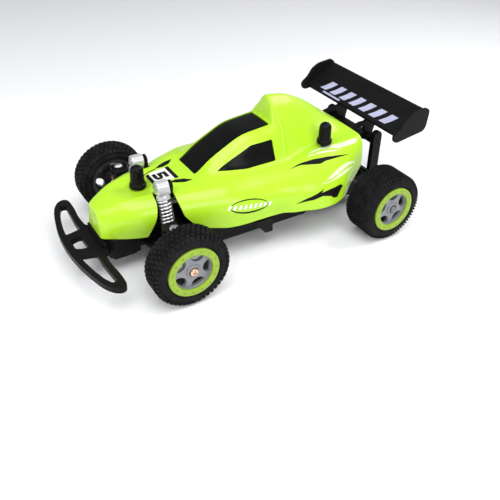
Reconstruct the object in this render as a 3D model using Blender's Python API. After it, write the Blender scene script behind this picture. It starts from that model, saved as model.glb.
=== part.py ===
"""Radio-controlled toy racing buggy, built from its separate pieces.

Frame: +X forward, +Y left, +Z up. The origin lies on the ground below the middle of the overall length.
Every size below is in millimetres and every x is measured forward from the rear axle; publish() moves the
shapes into the frame and turns them into metres.
"""

import math

import bmesh
import bpy
import numpy as np
from mathutils import Matrix, Vector

MM = 0.001
GAP = 0.3                      # clearance between pieces that touch on the real car

# Overall
BUMPER_FRONT_X = 213.5
WING_REAR_X = -43.6
MIDDLE_X = (BUMPER_FRONT_X + WING_REAR_X) / 2

# Wheels
WHEELBASE = 157.2
TYRE_RADIUS = 26.0
FRONT_FACE_Y = 73.0            # outer face of the front wheels
REAR_FACE_Y = 80.1             # outer face of the rear wheels
FRONT_TYRE_WIDTH = 19.0
REAR_TYRE_WIDTH = 26.0
RIM_RADIUS = 17.3
STAR_RADIUS = 12.6             # inside of the bead ring
STAR_DEPTH = 3.0               # how far the spokes sit behind the ring
AXLE_Z = TYRE_RADIUS

# Steering and front suspension
KINGPIN_Y = 45.8
LEVER = 14.5                   # kingpin to tie rod, and servo axis to tie rod
TIE_ROD_X = WHEELBASE - LEVER
TIE_ROD_Z = 29.5
HINGE_Y = 14.0                 # inner pivot of the lower arms
HINGE_Z = 18.0
SHOCK_X = 152.9
SHOCK_TOP = (19.9, 58.5)       # (y, z) of the upper eye
SHOCK_FOOT = (29.5, 25.0)      # (y, z) of the lower eye

# Gear train
MODULE = 0.8
AXLE_TEETH, SMALL_TEETH, BIG_TEETH, PINION_TEETH = 27, 9, 30, 8
COUNTERSHAFT_ANGLE = math.radians(60)
PINION_ANGLE = math.radians(-40)
COUNTERSHAFT = (MODULE * (AXLE_TEETH + SMALL_TEETH) / 2 * math.cos(COUNTERSHAFT_ANGLE),
                AXLE_Z + MODULE * (AXLE_TEETH + SMALL_TEETH) / 2 * math.sin(COUNTERSHAFT_ANGLE))
MOTOR = (COUNTERSHAFT[0] + MODULE * (BIG_TEETH + PINION_TEETH) / 2 * math.cos(PINION_ANGLE),
         COUNTERSHAFT[1] + MODULE * (BIG_TEETH + PINION_TEETH) / 2 * math.sin(PINION_ANGLE))

# Chassis
FLOOR_Z = 11.0
FLOOR = 1.8
PAN_TOP_Z = 26.0

# Body shell
SHELL = 1.5
POST_RADIUS = 2.2
FRONT_POST = (161.0, 0.0, 50.6)    # where each post comes through the shell
REAR_POST = (28.6, 27.8, 64.1)     # and the same on the right

COLOURS = {                    # colour, roughness, metallic
    "lime_body": ((0.56, 0.86, 0.03), 0.25, 0.0),
    "lime_ring": ((0.38, 0.56, 0.03), 0.45, 0.0),
    "black_plastic": ((0.02, 0.02, 0.022), 0.45, 0.0),
    "black_gloss": ((0.01, 0.01, 0.012), 0.15, 0.0),
    "rubber": ((0.018, 0.018, 0.02), 0.8, 0.0),
    "grey_plastic": ((0.33, 0.33, 0.36), 0.4, 0.0),
    "silver_plastic": ((0.75, 0.75, 0.77), 0.3, 0.2),
    "steel": ((0.62, 0.62, 0.64), 0.3, 1.0),
    "brass": ((0.75, 0.52, 0.33), 0.3, 1.0),
    "white_plastic": ((0.85, 0.85, 0.82), 0.4, 0.0),
    "battery_wrap": ((0.05, 0.15, 0.45), 0.35, 0.0),
    "board_green": ((0.02, 0.22, 0.08), 0.5, 0.0),
}

# Half cross-sections of the shell, front to back. Each is a distance ahead of the rear axle and the (y, z)
# of its ridge, canopy edge, pillar, belt, shoulder, flank and sill.
NOSE_TO_ROOF = [
    (193, [(0, 44.2), (7.1, 43.6), (8.5, 40.5), (9.6, 37), (10.6, 33.5), (11.6, 30), (11.9, 26.6)]),
    (187, [(0, 47.6), (9.3, 46.6), (12, 44), (14, 41), (15.5, 37.5), (16, 33), (15, 26.3)]),
    (178, [(0, 50.2), (12, 50.2), (15.5, 48), (18.5, 45), (20.8, 41), (21.5, 35), (19.5, 26)]),
    (168, [(0, 48.7), (14.3, 51.8), (18, 50), (22, 47.5), (25.5, 43), (26, 36), (23.5, 26)]),
    (159, [(0, 48.3), (15.8, 52.9), (20, 51.3), (24, 49), (27.8, 44), (28.5, 37), (25.5, 27)]),
    (155.2, [(0, 48.3), (15.6, 53.3), (19.7, 52), (23.4, 50), (27.5, 45.7), (29.6, 38.6), (27.2, 28.3)]),
    (153, [(0, 53.4), (15.4, 53.5), (19.5, 52.3), (23, 50.6), (27.4, 46.7), (30.3, 39.5), (28.3, 29)]),
    (147, [(0, 54.1), (15, 54.2), (19, 53.4), (22, 52.3), (27, 49.5), (32, 42), (31, 31)]),
    (128, [(0, 55.3), (12.6, 55.3), (17, 55.4), (22.5, 55.2), (31.5, 53), (39, 44), (37.5, 28.5)]),
    (114, [(0, 65.2), (12.4, 64.8), (17, 62.5), (23.5, 57.4), (35, 54.3), (43.8, 44), (43, 27.5)]),
    (104, [(0, 71), (12.4, 70.5), (17.8, 66.4), (24, 57.3), (35.5, 54), (45.4, 43.5), (44.3, 27.5)]),
    (88, [(0, 78.4), (12.4, 77.8), (18.8, 72.8), (24.3, 57.3), (35.5, 53.8), (45.8, 43), (44.5, 27.5)]),
    (75, [(0, 80), (12.8, 79.4), (19.2, 74.4), (24.8, 57.2), (35.5, 54.5), (47, 43), (45, 27.5)]),
    (63, [(0, 81.2), (13.5, 80.6), (18.5, 75.5), (25.2, 57.2), (35.5, 55.5), (49, 43), (48.5, 27)]),
]
HOOP_X = 62.0
HOOP = [(0, 98.6), (6.2, 92.2), (16.4, 75.8), (25.3, 57.2), (35.5, 55.6), (49.2, 43), (48.8, 27)]
HOOP_TO_TAIL = [
    (60, [(0, 98.2), (6, 91.8), (16, 75.4), (25.2, 57.2), (35.5, 56), (49.6, 43), (49.4, 27)]),
    (50, [(0, 97.6), (6.5, 90.5), (14.5, 76), (24, 58.5), (34, 58.6), (51.8, 43), (53, 27)]),
    (38, [(0, 92.9), (6.5, 86.5), (13.5, 74.5), (22, 60.5), (34.5, 61), (52.5, 43.5), (54.5, 27.5)]),
    (25, [(0, 85.2), (7, 80.5), (14, 71.5), (22, 62.3), (35, 62.8), (50.5, 45), (52, 29)]),
    (12, [(0, 74.6), (8, 73), (15, 68.5), (23, 64.9), (36.5, 64.6), (44.5, 50), (43, 32)]),
    (0, [(0, 67.2), (9, 67.1), (17, 67), (25, 66.8), (35.8, 66.2), (39, 56), (39, 43)]),
]
CORNER_SOFTNESS = [0.5, 0.2, 0.25, 0.3, 0.5, 0.5]   # ridge to flank; 0.5 blends the whole way
CORNER_POINTS = [3, 2, 2, 2, 3, 2]
STATION_STEP = 13.0            # longest distance between two sections

WINDSCREEN = [(125.5, -12.3), (125.5, 12.3), (66.5, 12.3), (66.5, -12.3)]               # (x, y)
SIDE_WINDOW = [(113.5, 59.4), (86, 71.6), (68.8, 72.6), (68.3, 58.2), (92, 57.6)]       # (x, z)
SHOCK_NOTCH = [(145.5, 80), (145.5, 50), (143.5, 40), (138.5, 34), (128, 26), (128, 20), (167, 20),
               (166, 26), (160.3, 42), (158, 51), (157.8, 80)]                          # (x, z)
NOTCH_Y = 15.0                 # the spine left between the two notches

# Bumper hoop seen from above, left half: outside, then the openings
BUMPER_OUTSIDE = [(213.5, 0), (213, 12), (211.6, 24), (209.2, 36), (206.6, 46), (203.6, 52.5), (199.8, 56.6),
                  (196, 57.2), (193.4, 54.6), (193.2, 44), (194.4, 30), (193.8, 18), (190, 17)]
SIDE_OPENING = [(208.6, 13), (207.8, 22), (206, 32), (203.4, 43), (200.6, 49.4), (197.4, 48.8), (198.2, 38),
                (198.8, 26), (198.4, 15.5)]
MIDDLE_OPENING = [(208.2, 5.2), (204.6, 7), (200.6, 7.4), (200.6, -7.4), (204.6, -7), (208.2, -5.2)]

CHASSIS_HALF = [(189.7, 13), (187, 17), (172, 16.8), (169, 10.8), (147, 10.8), (143, 20), (134, 30), (128, 33),
                (46, 33), (40, 30), (34, 28), (-14, 28), (-18, 24)]
END_PLATE = [(-39.8, 89.2), (-43.6, 86.7), (-42.5, 74), (-40.2, 70.6), (-14.5, 66.6), (-11.2, 68.2),
             (-10.3, 72.7), (-16.6, 77.6), (-20.6, 83.7), (-26.9, 87.3)]                # (x, z)
BLADE = [(-17.5, 67.8), (-24, 71.2), (-33, 77.6), (-41.5, 84.8), (-42.3, 86.6), (-40.6, 86.4), (-32, 79.4),
         (-24, 74.4), (-16.2, 71.2)]                                                    # (x, z)
WING_HALF_SPAN = 57.1


# ---------------------------------------------------------------- mesh helpers

def clear_scene():
    """Remove every object that the file opens with."""
    for thing in list(bpy.data.objects):
        bpy.data.objects.remove(thing, do_unlink=True)


def surface(rows_of_faces, points):
    """A bmesh from points and faces given as index lists, with its normals turned outwards."""
    bm = bmesh.new()
    verts = [bm.verts.new(p) for p in points]
    for face in rows_of_faces:
        bm.faces.new([verts[i] for i in face])
    bmesh.ops.recalc_face_normals(bm, faces=bm.faces)
    return bm


def place(axis, u, v, w):
    """A point from its two coordinates in the plane across an axis, and its place along that axis."""
    return {"X": (w, u, v), "Y": (u, w, v), "Z": (u, v, w)}[axis]


def prism(outline, axis, low, high):
    """An outline pushed along an axis from low to high."""
    n = len(outline)
    points = [place(axis, u, v, w) for w in (low, high) for u, v in outline]
    faces = [list(range(n)), list(range(n, 2 * n))]
    faces += [[i, (i + 1) % n, n + (i + 1) % n, n + i] for i in range(n)]
    return surface(faces, points)


def box(x, y, z):
    """A block between the given (low, high) pairs."""
    return prism([(x[0], y[0]), (x[1], y[0]), (x[1], y[1]), (x[0], y[1])], "Z", z[0], z[1])


def circle(centre, radius, count, start=0.0):
    """Points round a circle."""
    steps = [start + 2 * math.pi * i / count for i in range(count)]
    return [(centre[0] + radius * math.cos(a), centre[1] + radius * math.sin(a)) for a in steps]


def cylinder(axis, centre, radius, low, high, count=20):
    """A round bar along an axis."""
    return prism(circle(centre, radius, count), axis, low, high)


def turned(profile, centre, count, axis="Y"):
    """A closed profile of (along, radius) points spun about an axis; radius 0 makes a pole."""
    points, rings = [], []
    for along, radius in profile:
        if radius == 0:
            rings.append([len(points)] * count)
            points.append(place(axis, centre[0], centre[1], along))
        else:
            rings.append(list(range(len(points), len(points) + count)))
            points += [place(axis, u, v, along) for u, v in circle(centre, radius, count)]
    faces = []
    for a, b in zip(rings, rings[1:] + rings[:1]):
        for i in range(count):
            j = (i + 1) % count
            corners = list(dict.fromkeys([a[i], a[j], b[j], b[i]]))
            if len(corners) > 2:
                faces.append(corners)
    return surface(faces, points)


def bar(start, end, radius, count=12):
    """A round bar between two points."""
    start, end = Vector(start), Vector(end)
    turn = (end - start).to_track_quat("Z", "Y").to_matrix().to_4x4()
    bm = cylinder("Z", (0, 0), radius, 0, (end - start).length, count)
    bm.transform(Matrix.Translation(start) @ turn)
    return bm


def swept(path, radius, count):
    """A round wire along a smooth path, with flat ends."""
    points, faces = [], []
    for i, here in enumerate(path):
        ahead = (path[min(i + 1, len(path) - 1)] - path[max(i - 1, 0)]).normalized()
        side = ahead.cross(Vector((1, 0, 0))).normalized()
        up = ahead.cross(side)
        points += [here + side * u + up * v for u, v in circle((0, 0), radius, count)]
    for i in range(len(path) - 1):
        for k in range(count):
            m = (k + 1) % count
            faces.append([i * count + k, i * count + m, (i + 1) * count + m, (i + 1) * count + k])
    faces += [list(range(count)), list(range(len(points) - count, len(points)))]
    return surface(faces, points)


def mirrored(bm):
    """The same shape on the other side of the car."""
    bm.transform(Matrix.Scale(-1, 4, (0, 1, 0)))
    bmesh.ops.reverse_faces(bm, faces=bm.faces)
    return bm


def hold(bm, name):
    """A plain object that carries a shape while it is being cut or joined."""
    mesh = bpy.data.meshes.new(name)
    bm.to_mesh(mesh)
    bm.free()
    thing = bpy.data.objects.new(name, mesh)
    bpy.context.scene.collection.objects.link(thing)
    return thing


def combine(base, tools, operation):
    """Join, cut or intersect a shape with others."""
    body = hold(base, "body")
    for tool in tools:
        other = hold(tool, "tool")
        step = body.modifiers.new("step", "BOOLEAN")
        step.operation = operation
        step.object = other
        result = bpy.data.meshes.new_from_object(body.evaluated_get(bpy.context.evaluated_depsgraph_get()))
        body.modifiers.clear()
        body.data = result
        bpy.data.objects.remove(other)
    bm = bmesh.new()
    bm.from_mesh(body.data)
    bpy.data.objects.remove(body)
    return bm


def join(first, *others):
    return combine(first, others, "UNION")


def cut(first, *others):
    return combine(first, others, "DIFFERENCE")


def overlap(first, *others):
    return combine(first, others, "INTERSECT")


def material(colour):
    """The material of that colour, made once."""
    found = bpy.data.materials.get(colour)
    if found:
        return found
    made = bpy.data.materials.new(colour)
    made.use_nodes = True
    shader = made.node_tree.nodes["Principled BSDF"]
    base, roughness, metallic = COLOURS[colour]
    shader.inputs["Base Color"].default_value = (*base, 1)
    shader.inputs["Roughness"].default_value = roughness
    shader.inputs["Metallic"].default_value = metallic
    return made


def joint_empty(name, pivot):
    """An empty on a joint's axis, given in the drawing's millimetres."""
    empty = bpy.data.objects.new(name, None)
    empty.location = ((pivot[0] - MIDDLE_X) * MM, pivot[1] * MM, pivot[2] * MM)
    bpy.context.scene.collection.objects.link(empty)
    return empty


def publish(name, bm, colour, parent=None):
    """Turn a drawn shape into one of the car's objects, hung on its joint's empty if it moves."""
    bm.transform(Matrix.Scale(MM, 4) @ Matrix.Translation((-MIDDLE_X, 0, 0)))
    if parent:
        bm.transform(Matrix.Translation(-parent.location))
    bmesh.ops.remove_doubles(bm, verts=bm.verts, dist=0.00001)
    bmesh.ops.dissolve_degenerate(bm, edges=bm.edges, dist=0.00001)
    thing = hold(bm, name)
    thing.data.materials.clear()
    thing.data.materials.append(material(colour))
    thing.parent = parent
    thing.data.shade_smooth()
    thing.data.set_sharp_from_angle(angle=math.radians(35))
    return thing


# ---------------------------------------------------------------- body shell

def offset_outline(points, distance, closed):
    """Move each side of an outline inwards (to its right) by a distance and join the sides again."""
    moved, n = [], len(points)
    for i in range(n):
        here = Vector(points[i])
        normals = []
        for a, b in ((i - 1, i), (i, i + 1)):
            if closed or (a >= 0 and b < n):
                run = (Vector(points[b % n]) - Vector(points[a % n])).normalized()
                normals.append(Vector((run.y, -run.x)))
        mitre = sum(normals, Vector((0, 0)))
        if len(normals) == 2:
            mitre /= 1 + normals[0].dot(normals[1])
        moved.append(here + mitre * distance)
    return [tuple(p) for p in moved]


def smooth_between(knots, values, x):
    """A curve through the knots that never overshoots them (monotone cubic)."""
    gaps = np.diff(knots)[:, None, None]
    slopes = np.diff(values, axis=0) / gaps
    inner = np.where(slopes[1:] * slopes[:-1] > 0, 2 * slopes[1:] * slopes[:-1]
                     / np.where(slopes[1:] + slopes[:-1] == 0, 1, slopes[1:] + slopes[:-1]), 0)
    tangents = np.concatenate([slopes[:1], inner, slopes[-1:]])
    k = int(np.clip(np.searchsorted(knots, x, side="right") - 1, 0, len(knots) - 2))
    h = knots[k + 1] - knots[k]
    t = (x - knots[k]) / h
    return ((2 * t**3 - 3 * t**2 + 1) * values[k] + (t**3 - 2 * t**2 + t) * h * tangents[k]
            + (3 * t**2 - 2 * t**3) * values[k + 1] + (t**3 - t**2) * h * tangents[k + 1])


def shell_stations():
    """The control half-sections of the whole shell, as (x, points), front to back."""
    def run(stations):
        knots = np.array([-s[0] for s in stations], float)
        values = np.array([s[1] for s in stations], float)
        places = [knots[0]]
        for start, end in zip(knots, knots[1:]):
            count = math.ceil((end - start) / STATION_STEP)
            places += [start + (end - start) * k / count for k in range(1, count + 1)]
        return [(-x, smooth_between(knots, values, x)) for x in places]
    return run(NOSE_TO_ROOF) + [(HOOP_X, np.array(HOOP, float))] + run(HOOP_TO_TAIL)


def rounded_section(half, inset):
    """The full section from sill to sill, moved inwards and with its corners rounded."""
    whole = [tuple(p) for p in half[::-1]] + [(-y, z) for y, z in half[1:]]
    whole = offset_outline(whole[::-1], inset, False)
    softness = CORNER_SOFTNESS[::-1] + CORNER_SOFTNESS[1:]
    counts = CORNER_POINTS[::-1] + CORNER_POINTS[1:]
    out = [whole[0]]
    for i, (soft, count) in enumerate(zip(softness, counts), 1):
        before, here, after = Vector(whole[i - 1]), Vector(whole[i]), Vector(whole[i + 1])
        start, end = here.lerp(before, soft), here.lerp(after, soft)
        for k in range(count):
            t = k / (count - 1)
            out.append(tuple(start.lerp(here, t).lerp(here.lerp(end, t), t)))
    out.append(whole[-1])
    return out


def shell_layer(outer, inner):
    """The closed solid between two depths below the painted surface."""
    points, grids = [], []
    for inset in (outer, inner):
        rows = []
        for x, half in shell_stations():
            back = inset if x >= HOOP_X - 0.01 else 0
            section = rounded_section(half, inset)
            rows.append(list(range(len(points), len(points) + len(section))))
            points += [(x - back, y, z) for y, z in section]
        grids.append(rows)
    faces = []
    for rows in grids:
        faces += [[a[i], a[i + 1], b[i + 1], b[i]] for a, b in zip(rows, rows[1:]) for i in range(len(a) - 1)]
        faces.append(rows[0])
    out, deep = grids
    for side in (0, -1):
        faces += [[out[i][side], out[i + 1][side], deep[i + 1][side], deep[i][side]]
                  for i in range(len(out) - 1)]
    faces += [[out[-1][i], out[-1][i + 1], deep[-1][i + 1], deep[-1][i]] for i in range(len(out[0]) - 1)]
    faces.append([out[0][0], out[0][-1], deep[0][-1], deep[0][0]])
    return surface(faces, points)


def window_cutter(side, margin):
    """A block through the cockpit's side, smaller than the opening by a margin."""
    outline = offset_outline(SIDE_WINDOW, -margin, True)
    bm = prism(outline, "Y", 12.0, 33.0)
    return bm if side > 0 else mirrored(bm)


def windscreen_cutter(margin):
    """A block down through the top of the cockpit, smaller than the opening by a margin."""
    return prism(offset_outline(WINDSCREEN, -margin, True), "Z", 48.0, 100.0)


def build_shell():
    notches = [prism(SHOCK_NOTCH, "Y", NOTCH_Y, 60.0)]
    notches.append(mirrored(prism(SHOCK_NOTCH, "Y", NOTCH_Y, 60.0)))
    holes = [cylinder("Z", (x, y), POST_RADIUS + 0.6, z - 12, z + 12, 12)
             for x, y, z in (FRONT_POST, REAR_POST, (REAR_POST[0], -REAR_POST[1], REAR_POST[2]))]
    openings = [windscreen_cutter(0), window_cutter(1, 0), window_cutter(-1, 0)]
    publish("body_shell", cut(shell_layer(0, SHELL), *notches, *openings, *holes), "lime_body")
    panel = (0.5, 1.4)
    publish("windscreen", overlap(shell_layer(*panel), windscreen_cutter(GAP)), "black_gloss")
    for side, name in ((1, "side_window_left"), (-1, "side_window_right")):
        publish(name, overlap(shell_layer(*panel), window_cutter(side, GAP)), "black_gloss")


def build_posts():
    x, y, z = FRONT_POST
    base = FLOOR_Z + FLOOR + GAP
    front = join(cylinder("Z", (x, y), POST_RADIUS, base, z + 13, 12), cylinder("Z", (x, y), 4.5, base, z - 8, 12))
    publish("body_post_front", front, "black_plastic")
    x, y, z = REAR_POST
    rear = box((x - 1.6, x + 1.6), (-y, y), (45, 49))
    for side in (1, -1):
        rear = join(rear, cylinder("Z", (x, side * y), POST_RADIUS, 26.9, z + 13, 12),
                    cylinder("Z", (x, side * y), 3.2, 26.9, z - 8, 12))
    publish("body_posts_rear", rear, "black_plastic")

    profile = [(0, 2.6), (0, 5.6), (3, 5.6), (4, 4.9), (13, 4.5), (15.2, 3.2), (16, 0), (13.6, 0), (13.6, 2.6)]
    for name, (x, y, z) in (("front", FRONT_POST), ("rear_left", REAR_POST)):
        cap = [(z + along, radius) for along, radius in profile]
        publish("post_cap_" + name, turned(cap, (x, y), 16, "Z"), "rubber")
    cap = [(REAR_POST[2] + along, radius) for along, radius in profile]
    publish("post_cap_rear_right", mirrored(turned(cap, REAR_POST[:2], 16, "Z")), "rubber")


# ---------------------------------------------------------------- chassis, bumper and wing

def build_chassis():
    outline = CHASSIS_HALF + [(x, -y) for x, y in reversed(CHASSIS_HALF)]
    pan = prism(outline, "Z", FLOOR_Z, PAN_TOP_Z)
    inside = prism(offset_outline(outline, -FLOOR, True), "Z", FLOOR_Z + FLOOR, PAN_TOP_Z + 5)
    pan = cut(pan, inside)
    added = []
    for side in (1, -1):
        def across(low, high):
            return (low, high) if side > 0 else (-high, -low)
        lug = prism([(80, 12.5), (86, 12.5), (96, 24), (80, 24)], "Y", *across(32.5, 42))
        sill = box((50, 108), across(32.5, 40), (22, 24))
        rear_post_shelf = box((22, 35), across(23.8, 31.5), (24.6, 26.6))
        front_ear = box((169, 171.8), across(9.5, 17), (12, 23))
        rear_ear = box((146, 148.8), across(9.5, 17), (12, 23))
        added += [lug, sill, rear_post_shelf, front_ear, rear_ear]
    pan = join(pan, *added)
    removed = [box((58, 112), (-17, 17), (10, 13)), box((47, 55.5), (6.2, 9.8), (10, 13)),
               box((-2.6, 2.6), (-40, 40), (23.2, 30)), cylinder("Z", (55.5, 0), 1.5, 10, 13, 12)]
    removed += [cylinder("X", (side * HINGE_Y, HINGE_Z), 1.4, 140, 175, 12) for side in (1, -1)]
    removed += [cylinder("X", (side * HINGE_Y, HINGE_Z), 2.4, 171.8, 176, 12) for side in (1, -1)]
    publish("chassis_pan", cut(pan, *removed), "black_plastic")


def build_bumper():
    half = BUMPER_OUTSIDE
    outline = [(x, y) for x, y in half] + [(x, -y) for x, y in reversed(half[1:])]
    hoop = prism(outline, "Z", 15.8, 20.2)
    openings = [prism(SIDE_OPENING, "Z", 14, 22), mirrored(prism(SIDE_OPENING, "Z", 14, 22)),
                prism(MIDDLE_OPENING, "Z", 14, 22)]
    hoop = cut(hoop, *openings)
    skid = prism([(190.3, 13.4), (192.6, 17), (193.5, 17), (193.5, 24.5), (190.3, 24.5)], "Y", -14, 14)
    publish("front_bumper", join(hoop, skid), "black_plastic")


def build_wing():
    parts = [prism(END_PLATE, "Y", side * WING_HALF_SPAN - 1.1, side * WING_HALF_SPAN + 1.1) for side in (1, -1)]
    publish("rear_wing", join(prism(BLADE, "Y", -56.5, 56.5), *parts), "black_plastic")

    cheek = [(-3.5, 64.4), (-3.5, 60), (-12, 54), (-20, 51), (-26.5, 51), (-27.5, 57), (-31, 73.5),
             (-24, 70), (-17.8, 66.6), (-14, 66.6)]
    cheek_hole = [(-9, 63), (-9, 60.6), (-16, 56.8), (-19, 56.6), (-17, 63.2)]
    mount = box((-26.5, -20), (-25.6, 25.6), (51, 55))
    for side in (1, -1):
        plate = cut(prism(cheek, "Y", side * 17 - 1.2, side * 17 + 1.2),
                    prism(cheek_hole, "Y", side * 17 - 3, side * 17 + 3))
        mount = join(mount, plate)
    mount = join(mount, prism([(-24, 69.9), (-31, 73.4), (-31, 74.9), (-24, 70.9)], "Y", -17, 17))
    publish("wing_mount", mount, "black_plastic")

    tower = box((-22, -18.3), (-30, 30), (13, 27))
    for side in (1, -1):
        middle = side * 28
        upright = box((-26.8, -18.3), (middle - 2, middle + 2), (16, 58))
        top = cylinder("Y", (-22.55, 58), 4.25, middle - 2, middle + 2, 16)
        tower = join(tower, upright, top)
    publish("rear_tower", tower, "black_plastic")


# ---------------------------------------------------------------- wheels

def tyre_profile(face, width):
    """Tyre section as (y, radius) for a wheel on the left, with round shoulders."""
    inside = face - width
    shoulder = 4.0
    arc = [(math.sin(a), math.cos(a)) for a in np.linspace(0, math.pi / 2, 3)]
    outer = [(face - 0.4 - shoulder + shoulder * s, TYRE_RADIUS - shoulder + shoulder * c) for s, c in arc]
    inner = [(inside + shoulder - shoulder * s, TYRE_RADIUS - shoulder + shoulder * c) for s, c in arc[::-1]]
    bead = RIM_RADIUS + 0.6
    return inner + outer + [(face - 0.9, bead), (face - 2.4, bead), (face - 3.4, 16.0), (inside + 3.4, 16.0),
                            (inside + 2.4, bead), (inside + 0.6, bead)]


def build_wheel(label, centre_x, face, width, opening_angle, side, parent):
    """Tyre, rim and bead ring, drawn on the left of the car."""
    centre = (centre_x, AXLE_Z)
    inside = face - width

    def put(name, bm, colour):
        publish(name + "_" + label, bm if side > 0 else mirrored(bm), colour, parent)

    put("tyre", turned(tyre_profile(face, width), centre, 20), "rubber")
    disc = face - STAR_DEPTH
    hub = 4.4
    profile = [(face - 1.9, STAR_RADIUS + GAP), (face - 1.9, RIM_RADIUS), (face - 3.2, 15.6),
               (inside + 3.2, 15.6), (inside + 1.6, RIM_RADIUS), (inside + 1.6, 14.6), (disc - 2.4, 13.6),
               (disc - 2.4, hub), (disc - 5.5, hub), (disc - 5.5, 1.9), (face - 3.2, 1.9), (face - 3.2, 3.3),
               (face - 1.2, 3.3), (face - 1.2, hub), (disc, hub + 0.6), (disc, STAR_RADIUS + GAP)]
    rim = turned(profile, centre, 16)
    notches = []
    for k in range(5):
        spoke = opening_angle + 2 * math.pi * k / 5
        middle = (centre[0] + 11.6 * math.cos(spoke), centre[1] + 11.6 * math.sin(spoke))
        hole = [p for p in circle(middle, 4.7, 14, spoke + 0.1) if math.dist(p, centre) < 12.4]
        notches.append(prism(hole, "Y", disc - 4, disc + 1))
    put("rim", cut(rim, *notches), "grey_plastic")
    ring = [(face - 1.6, STAR_RADIUS), (face - 0.3, STAR_RADIUS), (face, STAR_RADIUS + 0.5),
            (face, RIM_RADIUS - 0.5), (face - 0.3, RIM_RADIUS), (face - 1.6, RIM_RADIUS)]
    put("bead_ring", turned(ring, centre, 16), "lime_ring")


def build_front_corner(side):
    """One front corner: arm, knuckle, kingpin, wheel and its screw, drawn on the left of the car."""
    label = "left" if side > 0 else "right"
    arm_empty = joint_empty("arm_hinge_" + label, (WHEELBASE, side * HINGE_Y, HINGE_Z))
    steer_empty = joint_empty("steer_hinge_" + label, (WHEELBASE, side * KINGPIN_Y, AXLE_Z))
    roll_empty = joint_empty("wheel_hinge_" + label, (WHEELBASE, side * FRONT_FACE_Y, AXLE_Z))

    def put(name, bm, colour, parent):
        publish(name + "_" + label, bm if side > 0 else mirrored(bm), colour, parent)

    barrel = cylinder("X", (HINGE_Y, HINGE_Z), 2.7, 149.2, 168.6, 16)
    blade = prism([(150.4, HINGE_Y), (167.4, HINGE_Y), (162, 40), (162, 50), (152.4, 50), (152.4, 40)],
                  "Z", 16.4, 19.4)
    web = box((152.4, 162), (37.2, 39.8), (16.4, 42.4))
    roof = box((152.4, 162), (37.2, 50), (39.9, 42.4))
    foot_ear = prism([(26.4, 18), (33, 18), (31.9, 26.5), (27.1, 26.5)], "X", 156.6, 159.4)
    foot_pin = cylinder("X", SHOCK_FOOT, 0.9, 149.2, 158, 10)
    arm = join(barrel, blade, web, roof, foot_ear, foot_pin)
    arm = cut(arm, cylinder("X", (HINGE_Y, HINGE_Z), 1.4, 140, 175, 12),
              cylinder("Z", (WHEELBASE, KINGPIN_Y), 1.6, 10, 50, 12))
    put("lower_arm", arm, "black_plastic", arm_empty)

    pin = join(cylinder("X", (HINGE_Y, HINGE_Z), 1.0, 145.6, 172.2, 10),
               cylinder("X", (HINGE_Y, HINGE_Z), 1.9, 172.1, 173.2, 12))
    put("arm_pin", pin, "steel", None)

    head = [(42.7, 0), (42.7, 3.0), (43.6, 3.0), (44.6, 1.9), (44.9, 0)]
    kingpin = join(turned(head, (WHEELBASE, KINGPIN_Y), 12, "Z"),
                   cylinder("Z", (WHEELBASE, KINGPIN_Y), 1.3, 15.8, 42.9, 10))
    put("kingpin", kingpin, "steel", arm_empty)

    block = cylinder("Z", (WHEELBASE, KINGPIN_Y), 4.0, 19.8, 39.5, 20)
    stub = cylinder("Y", (WHEELBASE, AXLE_Z), 3.6, KINGPIN_Y + 1, 52.6, 16)
    lever = prism([(WHEELBASE, KINGPIN_Y + 2), (WHEELBASE, KINGPIN_Y - 2), (TIE_ROD_X, 42.9),
                   (TIE_ROD_X - 1.6, 44.6), (TIE_ROD_X, 46.3)], "Z", 31.3, 33.5)
    pivot = cylinder("Z", (TIE_ROD_X, 44.6), 0.8, 28.8, 32, 10)
    knuckle = join(block, stub, lever, pivot)
    knuckle = cut(knuckle, cylinder("Z", (WHEELBASE, KINGPIN_Y), 1.6, 10, 50, 12),
                  cylinder("Y", (WHEELBASE, AXLE_Z), 1.8, 47.5, 60, 12))
    put("knuckle", knuckle, "black_plastic", steer_empty)

    screw = [(47.9, 0), (47.9, 1.45), (70.1, 1.45), (70.1, 2.8), (72.5, 2.8), (73.2, 1.8), (73.2, 0)]
    put("wheel_screw", turned(screw, (WHEELBASE, AXLE_Z), 12), "brass", steer_empty)
    build_wheel("front_" + label, WHEELBASE, FRONT_FACE_Y, FRONT_TYRE_WIDTH, math.pi, side, roll_empty)


# ---------------------------------------------------------------- shocks and steering

def along_shock(distance, radius=0.0):
    """A point on the left shock's line, a distance below its upper eye and a radius outboard of it."""
    top, foot = Vector(SHOCK_TOP), Vector(SHOCK_FOOT)
    down = (foot - top).normalized()
    out = Vector((-down.y, down.x))
    here = top + down * distance + out * radius
    return (SHOCK_X, here.x, here.y)


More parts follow.
